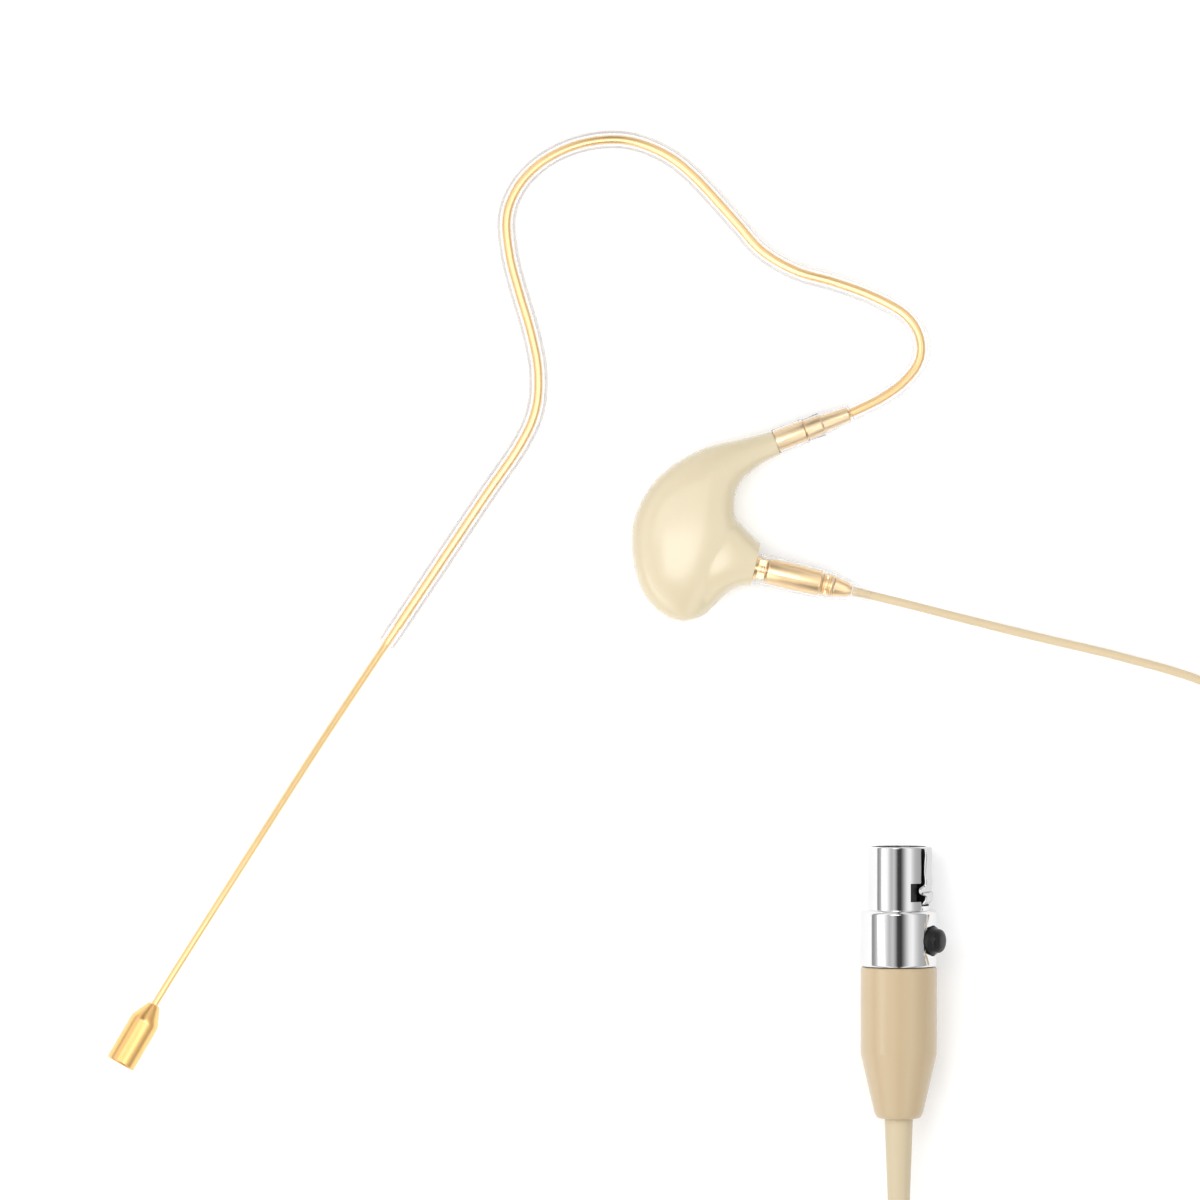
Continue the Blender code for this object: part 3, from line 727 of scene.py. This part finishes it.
def add_tie():
    """Cable tie round the coil: a flat strap with its locking head."""
    middle = 9.5
    turn = math.radians(150)
    spot = Matrix.Translation(COIL_CENTRE * MM) @ Matrix.Rotation(turn, 4, "Z")
    half_width, half_height, corner = 3.05, 2.45, 1.3
    corner_steps = 6
    corners = []
    for sign_x, sign_z, start in ((1, 1, 0), (-1, 1, 90), (-1, -1, 180), (1, -1, 270)):
        for step in range(corner_steps + 1):
            angle = math.radians(start + 90 * step / corner_steps)
            corners.append(Vector((sign_x * (half_width - corner) + corner * math.cos(angle), 0,
                                   sign_z * (half_height - corner) + corner * math.sin(angle))))
    thickness, strap = 0.32, 1.1
    vertices = []
    for point in corners:
        outwards = Vector((point.x / half_width, 0, point.z / half_height)).normalized()
        for offset, side in ((0, -strap), (0, strap), (-thickness, strap), (-thickness, -strap)):
            vertices.append(point + outwards * offset + Vector((middle, side, half_height + 0.02)))
    rings = [range(start, start + 4) for start in range(0, len(vertices), 4)]
    strap_piece = add_mesh("coil_tie_strap", vertices, joined(rings, closed=True), spot)
    ease_edges(strap_piece, 0.08, 2)
    head_spot = moved(spot, middle, 0, 2 * half_height + 0.55)
    head = block("coil_tie_head", (2.4, 2.9, 1.5), head_spot)
    combine(head, "DIFFERENCE", block("tie_slot", (4.0, 1.9, 0.5), head_spot))
    ease_edges(head, 0.22, 3)
    dress(strap_piece, "tie", "cable", "coil_tie", slot="tie")
    dress(head, "tie", "cable", slot="tie")
    return [strap_piece, head]


# -------- headset

# Outlines of the ear body seen from above. The bulb with its horn and the short spout are separate,
# so that a soft fold is left where the two forms meet.
BULB_OUTLINE = [
    (35.9, 23.35), (33.4, 22.4), (31.0, 21.75), (28.0, 21.05), (26.0, 20.6), (24.0, 19.95),
    (22.0, 18.9), (20.0, 17.65), (18.2, 16.0), (17.0, 14.5), (16.1, 12.9), (15.4, 11.2), (15.05, 9.8),
    (14.95, 8.3), (15.0, 6.6), (15.2, 4.9), (15.6, 3.1), (16.2, 1.5), (17.0, 0.15), (18.0, -1.0),
    (19.2, -1.95), (20.5, -2.55), (21.8, -2.75), (23.0, -2.55), (24.1, -2.15), (24.9, -1.3),
    (25.5, 0.2), (26.3, 2.0), (27.5, 3.9), (28.9, 5.6), (29.6, 7.4), (29.4, 9.2), (28.95, 10.4),
    (28.6, 11.4), (28.5, 12.5), (28.6, 13.6), (28.9, 14.7), (29.4, 15.7), (30.2, 16.6), (31.4, 17.6),
    (33.0, 18.6), (34.7, 19.35), (37.0, 20.2),
]
SPOUT_OUTLINE = [
    (20.5, 7.2), (22.0, 10.2), (25.0, 11.4), (28.0, 11.1), (29.0, 10.45), (30.0, 9.45), (31.1, 8.35),
    (32.0, 7.55), (33.6, 6.9), (34.2, 4.6), (32.8, 2.2), (30.6, 2.0), (29.5, 1.9), (28.5, 1.55),
    (27.5, 0.95), (26.7, 0.2), (26.0, -0.55), (25.3, -1.25), (24.6, -1.9), (23.6, -1.9), (22.0, 0.5),
    (20.8, 4.0),
]
BULB_LIMIT = (4.6, 1)     # largest half thickness and how suddenly a form comes near to it
SPOUT_LIMIT = (3.6, 2)
GRID_STEP = 0.25


def closed_outline(points):
    """Smooth closed outline through the points."""
    substeps = 8
    knots = [Vector(point) for point in points]
    count = len(knots)
    result = []
    for index in range(count):
        before, start, end, after = (knots[(index + shift) % count] for shift in (-1, 0, 1, 2))
        for substep in range(substeps):
            result.append(curve_point(before, start, end, after, substep / substeps))
    return np.array([tuple(point) for point in result])


def outline_distance(outline, x, y):
    """Distance of each grid point to the outline, and whether the point lies inside it."""
    nearest = np.full(x.shape, 1e9)
    inside = np.zeros(x.shape, bool)
    for (ax, ay), (bx, by) in zip(outline, np.roll(outline, -1, axis=0)):
        dx, dy = bx - ax, by - ay
        t = np.clip(((x - ax) * dx + (y - ay) * dy) / (dx * dx + dy * dy), 0, 1)
        nearest = np.minimum(nearest, np.hypot(x - ax - t * dx, y - ay - t * dy))
        if ay != by:
            crosses = (ay > y) != (by > y)
            inside ^= crosses & (x < ax + (y - ay) * dx / dy)
    return nearest, inside


def swollen(outline, limit, x, y):
    """Square of half the thickness of a form blown up evenly inside its outline; below zero outside."""
    distance, inside = outline_distance(outline, x, y)
    inner = inside & (distance > 0.25 * GRID_STEP)
    swell = np.where(inside, distance * 3.0, 0.0)
    passes = 2600
    for _ in range(passes):
        around = np.roll(swell, 1, 0) + np.roll(swell, -1, 0) + np.roll(swell, 1, 1) + np.roll(swell, -1, 1)
        swell = np.where(inner, (around + GRID_STEP ** 2) / 4, np.where(inside, distance * 2.0, 0.0))
    square = 2 * swell
    largest, hardness = limit
    square = square / (1 + (square / largest ** 2) ** hardness) ** (1 / hardness)
    return np.where(inside, square, -5.0 * distance)


def surface_of(name, field, corner):
    """Closed surface where a field on a regular grid is zero, one vertex per crossed cell."""
    solid = field > 0
    cells = tuple(size - 1 for size in field.shape)
    total = np.zeros((*cells, 3))
    hits = np.zeros(cells)
    grid = np.indices(cells).transpose(1, 2, 3, 0).astype(float)
    near = [(a, b, c) for a in (0, 1) for b in (0, 1) for c in (0, 1)]
    view = {shift: tuple(slice(part, part + size) for part, size in zip(shift, cells)) for shift in near}
    for first in near:
        for axis in range(3):
            if first[axis]:
                continue
            second = tuple(part + (place == axis) for place, part in enumerate(first))
            low, high = field[view[first]], field[view[second]]
            crossed = (low > 0) != (high > 0)
            share = np.where(crossed, low / np.where(crossed, low - high, 1), 0)
            point = grid + np.array(first, float)
            point[..., axis] += share
            total += point * crossed[..., None]
            hits += crossed
    used = hits > 0
    number = np.full(cells, -1)
    number[used] = np.arange(used.sum())
    vertices = total[used] / hits[used][:, None] * GRID_STEP + np.array(corner)
    faces = []
    for axis in range(3):
        one, two = ((1, 2), (2, 0), (0, 1))[axis]
        shift = np.roll(solid, -1, axis)
        for spot in np.argwhere(solid != shift):
            if spot[axis] >= cells[axis] or spot[one] < 1 or spot[two] < 1:
                continue
            ring = []
            for step_one, step_two in ((0, 0), (1, 0), (1, 1), (0, 1)):
                cell = list(spot)
                cell[one] -= step_one
                cell[two] -= step_two
                ring.append(int(number[tuple(cell)]))
            faces.append(ring if solid[tuple(spot)] else ring[::-1])
    return add_mesh(name, [tuple(vertex) for vertex in vertices], faces, sharp=math.radians(180))


def ear_body_form():
    """Bulb, horn and spout as one smooth form, cut flat at the neck and at the spout's end."""
    corner = (13.9, -3.9, MID_HEIGHT - 3.75)
    counts = (94, 112, 31)
    x, y = np.meshgrid(corner[0] + GRID_STEP * np.arange(counts[0]),
                       corner[1] + GRID_STEP * np.arange(counts[1]), indexing="ij")
    bulb = swollen(closed_outline(BULB_OUTLINE), BULB_LIMIT, x, y)
    spout = swollen(closed_outline(SPOUT_OUTLINE), SPOUT_LIMIT, x, y)
    softness = 0.1
    both = np.maximum(bulb, spout)
    both = both + softness * np.exp(-np.abs(bulb - spout) / (2 * softness)) * (both > 0)
    height = corner[2] + GRID_STEP * np.arange(counts[2]) - MID_HEIGHT
    form = surface_of("ear_body_form", both[:, :, None] - height ** 2, corner)
    smooth = form.modifiers.new("smooth", "SMOOTH")
    smooth.factor = 0.5
    smooth.iterations = 5
    settle(form)
    spout_end = matrix_at(PLUG_START - PLUG_AXIS * 0.15, PLUG_AXIS)
    neck_end = matrix_at(NECK_START + NECK_AXIS * 0.1, NECK_AXIS)
    for end in (spout_end, neck_end):
        combine(form, "DIFFERENCE", block("beyond", (9, 9, 8), moved(end, 0, 0, 4)))
    return form


def add_ear_body():
    """The smooth form parted into its two glued halves, with a fine seam between them."""
    form = ear_body_form()
    seam = 0.025
    width = 60
    depth = 10
    bore = [(0, 3.0), (2.14, 3.0), (2.14, -6.9), (0, -6.9)]
    for name, low, high in (("ear_body_front", MID_HEIGHT + seam, MID_HEIGHT + depth),
                            ("ear_body_rear", MID_HEIGHT - depth, MID_HEIGHT - seam)):
        half = add_object(name + "_skin", form.data.copy())
        side = block("side", (width, width, high - low), moved(Matrix(), 24, 9, (high + low) / 2))
        combine(half, "INTERSECT", side)
        combine(half, "DIFFERENCE", lathe("bore", bore, matrix_at(PLUG_START, PLUG_AXIS), sides=48))
        ease_edges(half, 0.09, 2, math.radians(50))
        dress(half, "body", "ear_body", name, slot="beige_gloss")
    bpy.data.objects.remove(form)


def add_neck():
    """Stepped gold ferrule that grips the wire, and its clear stepped cover."""
    matrix = matrix_at(NECK_START, NECK_AXIS)
    ferrule = [(0.95, 10.5, 0.06), (1.12, 6.75), (1.26, 6.6, 0.05), (1.34, 4.5), (1.22, 4.35),
               (1.38, 4.2, 0.05), (1.4, 0.15, 0.1), (0.8, 0.15), (0.8, -5.0), (0.5, -5.0), (0.5, 4.0),
               (0.66, 4.6), (0.76, 10.5, 0.05)]
    turned("neck_ferrule", ferrule, matrix, "gold_neck", "ear_body", "gold_plate")
    outer = [(1.06, 10.4, 0.04), (1.40, 6.85), (1.60, 6.65, 0.06), (1.56, 6.35, 0.08), (1.48, 4.5),
             (1.66, 4.25, 0.06), (1.60, 3.9, 0.08), (1.64, 0.35, 0.06), (1.6, 0.15, 0.04)]
    inner = [(1.46, 0.15, 0.04), (1.45, 3.9), (1.42, 4.5), (1.38, 6.35), (1.24, 6.85), (0.96, 10.4, 0.04)]
    turned("neck_cover", outer + inner, matrix, "cover", "ear_body", "clear_silicone")


def add_ear_loop():
    """Spring wire and its clear sleeve; both turn at the end of the neck ferrule."""
    route = [tuple(Vector(LOOP_ROUTE[0]) - NECK_AXIS * 0.3)] + LOOP_ROUTE
    wire = sweep("ear_loop_wire_skin", smooth_route(route, 0.9)[:-3], WIRE_RADIUS, sides=24)
    dress(wire, "gold_wire", "ear_loop", "ear_loop_wire", slot="gold_plate")

    def outline(share):
        """Sleeve's radius: a little narrower at the neck and over the top of the loop."""
        ends = 0.12 * math.exp(-share / 0.02)
        top = 0.08 * math.exp(-((share - 0.47) / 0.12) ** 2)
        mouth = 0.05 * math.exp(-(1 - share) / 0.01)
        return SLEEVE_RADIUS - ends - top - mouth

    sleeve = sweep("ear_loop_sleeve_skin", smooth_route(LOOP_ROUTE, 0.9), outline, sides=32, inner=0.66)
    dress(sleeve, "sleeve", "ear_loop", "ear_loop_sleeve", slot="clear_silicone")


def add_boom():
    """Boom from inside the sleeve's mouth to the capsule, bending just past the mouth."""
    tube = sweep("boom_tube_skin", smooth_route(BOOM_ROUTE, 0.8), BOOM_RADIUS, sides=20)
    tube.data.materials.append(FINISH["gold_wire"])
    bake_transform(tube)
    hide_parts("boom_tube")


def add_capsule():
    """Capsule housing with its front rim, and the perforated grille behind the rim."""
    matrix = matrix_at(CAPSULE_FRONT, CAPSULE_AXIS)
    housing = [(1.88, 0.0, 0.05), (1.96, 0.12, 0.06), (1.96, 6.35, 0.25), (1.84, 6.75, 0.2),
               (0.82, 8.9, 0.2), (0.62, 9.0, 0.05), (0.62, 6.3), (1.6, 5.9), (1.6, 0.45), (1.68, 0.35),
               (1.68, 0.0, 0.04)]
    turned("capsule_housing", housing, matrix, "gold", "boom", "gold_plate", sides=96)
    disc = [(0, 0.62), (1.52, 0.62, 0.06), (1.52, 0.22, 0.1), (1.2, 0.16, 0.1), (0, 0.12)]
    grille = lathe("capsule_grille_skin", disc, matrix)
    hole_radius = 0.15
    drill = [(0, 1.0), (hole_radius, 1.0), (hole_radius, -0.4), (0, -0.4)]
    for ring, count in ((0.0, 1), (0.55, 6), (1.08, 12)):
        for index in range(count):
            angle = math.tau * index / count
            spot = moved(matrix, ring * math.cos(angle), ring * math.sin(angle), 0)
            combine(grille, "DIFFERENCE", lathe("grille_hole", drill, spot, sides=16))
    shade(grille)
    dress(grille, "gold", "boom", "capsule_grille", slot="gold_plate")


def add_plug():
    """Gold cable plug with its grooved ring and cone, under a clear shrunk-on cover."""
    matrix = matrix_at(PLUG_START, PLUG_AXIS)
    neck = [(0.78, 3.4, 0.1), (0.78, 1.4), (1.42, 1.4, 0.08), (1.46, 1.2, 0.05), (1.3, 1.05), (1.3, 0.85),
            (1.46, 0.7, 0.05), (1.46, -1.2, 0.1), (1.36, -1.3, 0.05), (0.5, -1.3), (0.5, 3.4)]
    sleeve = [(0.95, 8.95), (1.45, 8.95, 0.1), (1.62, 8.7, 0.2), (1.72, 6.0, 0.5), (1.70, 3.2, 0.5),
              (1.60, 1.75, 0.2), (1.45, 1.5, 0.1), (0.95, 1.5)]
    ring = [(0.8, 10.5), (1.3, 10.5, 0.08), (1.46, 10.38, 0.06), (1.46, 10.12, 0.05), (1.24, 10.05),
            (1.24, 9.85), (1.46, 9.78, 0.05), (1.46, 9.4, 0.05), (1.3, 9.3), (1.3, 9.2), (1.42, 9.12),
            (1.36, 9.05), (0.8, 9.05)]
    cone = [(0, 13.0), (0.66, 13.0, 0.12), (0.98, 12.2, 0.5), (1.32, 10.62, 0.1), (0.6, 10.62),
            (0.6, 12.0), (0, 12.2)]
    # Pockets cut from above on both sides of the middle: how far aside, how far along, and their size.
    windows = {"plug_neck": (0.85, 0.78, (1.6, 0.75, 0.95)), "plug_ring": (1.0, 9.58, (1.2, 0.5, 0.3))}
    window_height = 1.2
    for name, profile in (("plug_neck", neck), ("plug_sleeve", sleeve), ("plug_ring", ring)):
        piece = lathe(name + "_skin", profile, matrix, closed=True)
        if name in windows:
            aside, along, size = windows[name]
            spots = [moved(matrix, window_height, side * aside, along) for side in (-1, 1)]
            combine(piece, "DIFFERENCE", *[block("window", size, spot) for spot in spots])
            shade(piece)
        dress(piece, "gold_plug", "cable", name, slot="gold_plate")
    turned("plug_cone", cone, matrix, "gold_plug", "cable", "gold_plate", closed=False)
    outer = [(0.84, 15.6, 0.03), (1.02, 13.6, 0.5), (1.5, 11.9, 0.8), (1.80, 10.2, 0.6), (1.95, 8.0, 0.6),
             (2.02, 5.0, 0.6), (2.0, 0.3, 0.06)]
    inner = [(1.82, 0.3, 0.04), (1.84, 5.0, 0.6), (1.78, 8.0, 0.6), (1.62, 10.2, 0.6), (1.32, 11.9, 0.8),
             (0.86, 13.6, 0.5), (0.7, 15.6, 0.03)]
    turned("plug_cover", outer + inner, matrix, "cover", "cable", "clear_silicone")


def add_socket():
    """Socket inside the ear body's spout, seen when the plug is pulled out."""
    matrix = matrix_at(PLUG_START, PLUG_AXIS)
    barrel = [(2.1, -0.1, 0.05), (2.1, -6.6), (1.72, -6.6), (1.72, -0.25), (1.82, -0.1)]
    insulator = [(1.58, -1.7, 0.1), (1.58, -6.4), (0.82, -6.4), (0.82, -1.9), (0.95, -1.7)]
    contact = [(0.56, -1.9), (0.7, -2.0), (0.7, -7.4), (0, -7.4), (0, -6.2), (0.48, -6.0), (0.48, -2.0)]
    turned("socket_barrel", barrel, matrix, "gold", "ear_body", "gold_plate")
    turned("socket_insulator", insulator, matrix, "white", "ear_body", "white_plastic")
    turned("socket_contact", contact, matrix, "gold_contact", "ear_body", "gold_plate", sides=32)


# -------- connector

CONTACT_RING = 2.3
OUTER_CONTACTS = {"1": -84, "2": 168, "3": 57}     # degrees round the ring; contact 4 is in the middle
NUMBER_PLACES = {"1": (1.75, -2.2), "2": (-1.9, -0.75), "3": (0.2, 2.55), "4": (-0.55, 1.35)}
NUMBER_HEIGHT = 1.05
NUMBER_RELIEF = 0.05
BUTTON_FROM_ORIGIN = -44.85
# Along the connector's axis with X towards the latch, and along the button's way outwards.
CONNECTOR_PLACE = matrix_at(CONNECTOR_ORIGIN, AHEAD, LATCH_OUT)
BUTTON_PLACE = matrix_at(CONNECTOR_ORIGIN + AHEAD * BUTTON_FROM_ORIGIN, LATCH_OUT, AHEAD)


def add_shell():
    """Chrome shell: narrow nose, shoulder, wide barrel, with its latch slot and button hole."""
    matrix = CONNECTOR_PLACE
    nose_radius, barrel_radius = 4.075, 5.12
    profile = [(3.62, FRONT_RIM, 0.04), (3.98, FRONT_RIM, 0.06), (nose_radius, FRONT_RIM - 0.12, 0.06),
               (nose_radius, -40.86, 0.05), (4.72, -40.90, 0.2), (barrel_radius, -41.2, 0.3),
               (barrel_radius, -48.1, 0.08), (4.98, -48.3, 0.05), (4.5, -48.3), (4.5, -42.2), (3.62, -41.6)]
    shell = lathe("connector_shell_skin", profile, matrix, sides=128, closed=True)
    slot = block("slot", (2.4, 2.2, 7.4), moved(matrix, 4.2, 0, -36.6))
    hole = lathe("hole", [(0, 7.0), (2.02, 7.0), (2.02, 3.0), (0, 3.0)], BUTTON_PLACE, sides=64)
    window = block("window", (3.0, 5.2, 2.4), moved(matrix, 3.8, 0, -38.5))
    combine(shell, "DIFFERENCE", slot, window, hole)
    ease_edges(shell, 0.06, 2, math.radians(50))
    dress(shell, "chrome", "cable", "connector_shell", slot="chrome")
    return shell


def add_insert():
    """Black contact insert with its channel, contact holes and raised contact numbers."""
    matrix = CONNECTOR_PLACE
    disc = [(0, -32.8), (3.5, -32.8, 0.1), (3.5, -41.3, 0.1), (0, -41.3)]
    insert = lathe("connector_insert_skin", disc, matrix, sides=96)
    combine(insert, "DIFFERENCE", block("channel", (4.0, 2.5, 12), moved(matrix, 4.2, 0, -36)))
    drill = [(0, -30.0), (0.84, -30.0), (0.84, -43.0), (0, -43.0)]
    tube = [(0.60, -33.5, 0.04), (0.68, -33.6, 0.05), (0.68, -43.8), (0.46, -43.8), (0.46, -33.7, 0.04),
            (0.52, -33.5, 0.03)]
    pieces = [insert]
    for number, place in NUMBER_PLACES.items():
        angle = math.radians(OUTER_CONTACTS.get(number, 0))
        reach = CONTACT_RING if number in OUTER_CONTACTS else 0.0
        spot = moved(matrix, reach * math.cos(angle), reach * math.sin(angle), 0)
        combine(insert, "DIFFERENCE", lathe("hole", drill, spot, sides=40))
        contact = lathe(f"contact_{number}_skin", tube, spot, sides=36, closed=True)
        slit = block("slit", (0.16, 2.0, 3.0), moved(spot, 0, 0, -34.6))
        combine(contact, "DIFFERENCE", slit)
        shade(contact)
        dress(contact, "gold_contact", "cable", f"contact_{number}", slot="gold_plate")
        pieces.append(contact)
        pieces.append(add_number(number, place, matrix))
    ease_edges(insert, 0.05, 2, math.radians(60))
    dress(insert, "insert", "cable", "connector_insert", slot="black_plastic")
    return pieces


def add_number(text, place, matrix):
    """Raised contact number on the insert's face."""
    data = bpy.data.curves.new("number", "FONT")
    data.body = text
    data.size = NUMBER_HEIGHT * MM
    data.extrude = NUMBER_RELIEF * MM
    data.align_x = "CENTER"
    data.align_y = "CENTER"
    spot = moved(matrix, *place, -32.78)
    letter = add_object("number", data, spot @ Matrix.Rotation(math.radians(180), 4, "Z"))
    bpy.context.view_layer.update()
    mesh = bpy.data.meshes.new_from_object(letter.evaluated_get(bpy.context.evaluated_depsgraph_get()))
    raised = add_object("contact_number_" + text, mesh, letter.matrix_world.copy())
    bpy.data.objects.remove(letter)
    dress(raised, "insert", "cable", slot="black_plastic")
    return raised


def add_latch():
    """Spring strip with its tooth, made from a smooth side profile of even thickness."""
    side = matrix_at(CONNECTOR_ORIGIN, LATCH_SIDE, LATCH_OUT)
    middle = [
        (4.24, -32.62, 0), (4.36, -32.85, 0), (4.44, -33.6, 0), (4.34, -34.7, 0), (4.3, -35.9, 0),
        (4.42, -36.9, 0), (4.36, -37.5, 0), (3.95, -38.05, 0), (3.95, -38.45, 0), (4.42, -38.8, 0),
        (4.44, -39.4, 0), (4.1, -39.85, 0), (3.45, -40.25, 0), (3.2, -40.9, 0), (3.15, -43.0, 0),
        (3.15, -46.2, 0),
    ]
    points = smooth_route(middle, 0.16)
    thickness = 0.15
    narrow, tooth_extra = 0.85, 0.75
    tooth_height, tooth_length = -38.3, 0.55
    vertices = []
    for point, (along, _, _) in zip(points, path_frames(points)):
        across = Vector((-along.y, along.x, 0)) * thickness
        half_width = narrow + tooth_extra * math.exp(-((point.y - tooth_height) / tooth_length) ** 4)
        for offset, lift in ((across, -half_width), (across, half_width), (-across, half_width),
                             (-across, -half_width)):
            vertices.append(point + offset + UP * lift)
    rings = [range(start, start + 4) for start in range(0, len(vertices), 4)]
    faces = joined(rings) + [tuple(rings[0]), tuple(rings[-1])]
    strip = add_mesh("latch_spring_skin", vertices, faces, side, sharp=math.radians(50))
    ease_edges(strip, 0.05, 2, math.radians(60))
    dress(strip, "spring", "latch", "latch_spring", slot="chrome")


def add_button():
    """Push button with a flared base and a domed top."""
    profile = [(0, 6.62), (0.95, 6.56, 0.3), (1.45, 6.3, 0.25), (1.6, 5.95, 0.2), (1.6, 5.55, 0.15),
               (1.9, 5.3, 0.12), (1.9, 3.85), (2.2, 3.8, 0.05), (2.2, 3.5, 0.05), (0, 3.5)]
    turned("latch_button", profile, BUTTON_PLACE, "button", "button", "black_plastic", sides=64,
           closed=False)


def add_boot_and_tail():
    """Tan boot with a straight and a tapered part, and the pale flexible tail that comes out of it."""
    matrix = CONNECTOR_PLACE
    boot = [(4.88, -48.42, 0.08), (5.05, -48.6, 0.08), (5.05, -59.75, 0.25), (4.98, -60.1, 0.3),
            (3.22, -67.75, 0.35), (2.9, -68.35, 0.25), (2.3, -68.45, 0.15), (2.02, -68.2), (2.05, -66.0),
            (3.9, -58.6), (3.9, -48.42)]
    tail = [(0, -58.0), (1.9, -58.0), (1.9, -68.0, 0.3), (1.86, -68.9, 0.3), (1.47, -79.4, 0.6),
            (1.30, -83.5, 0.3), (1.0, -84.0, 0.2), (0, -84.0)]
    return [
        turned("connector_boot", boot, matrix, "boot", "cable", "beige_satin", sides=128,
               sharp=math.radians(40)),
        turned("strain_relief_tail", tail, matrix, "tail", "cable", "pale_rubber", sides=64, closed=False),
    ]


def finish_hidden_nodes():
    """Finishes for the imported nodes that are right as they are."""
    kept = {
        "capsule_dust_screen": "screen", "electret_element": "steel", "element_gasket": "rubber",
        "element_board": "board", "junction_board": "board", "board_capacitor": "white",
        "signal_lead": "cable", "socket_lead": "cable", "plug_pin": "gold_contact",
        "cable_clamp": "steel", "insert_retainer": "steel",
    }
    for name, finish in kept.items():
        node = frame["nodes"][name]
        node.data.materials.clear()
        node.data.materials.append(FINISH[finish])


# -------- assembly

bpy.context.scene.view_settings.view_transform = "Standard"
add_camera()
add_floor()
add_world()
add_lights()
cable_piece = add_cable()
tie_pieces = add_tie()
add_ear_body()
add_neck()
add_ear_loop()
add_boom()
add_capsule()
add_plug()
add_socket()
shell_piece = add_shell()
insert_pieces = add_insert()
add_latch()
add_button()
boot_pieces = add_boot_and_tail()
finish_hidden_nodes()

tuple(Vector(LEAD_ROUTE[0]) * MM)
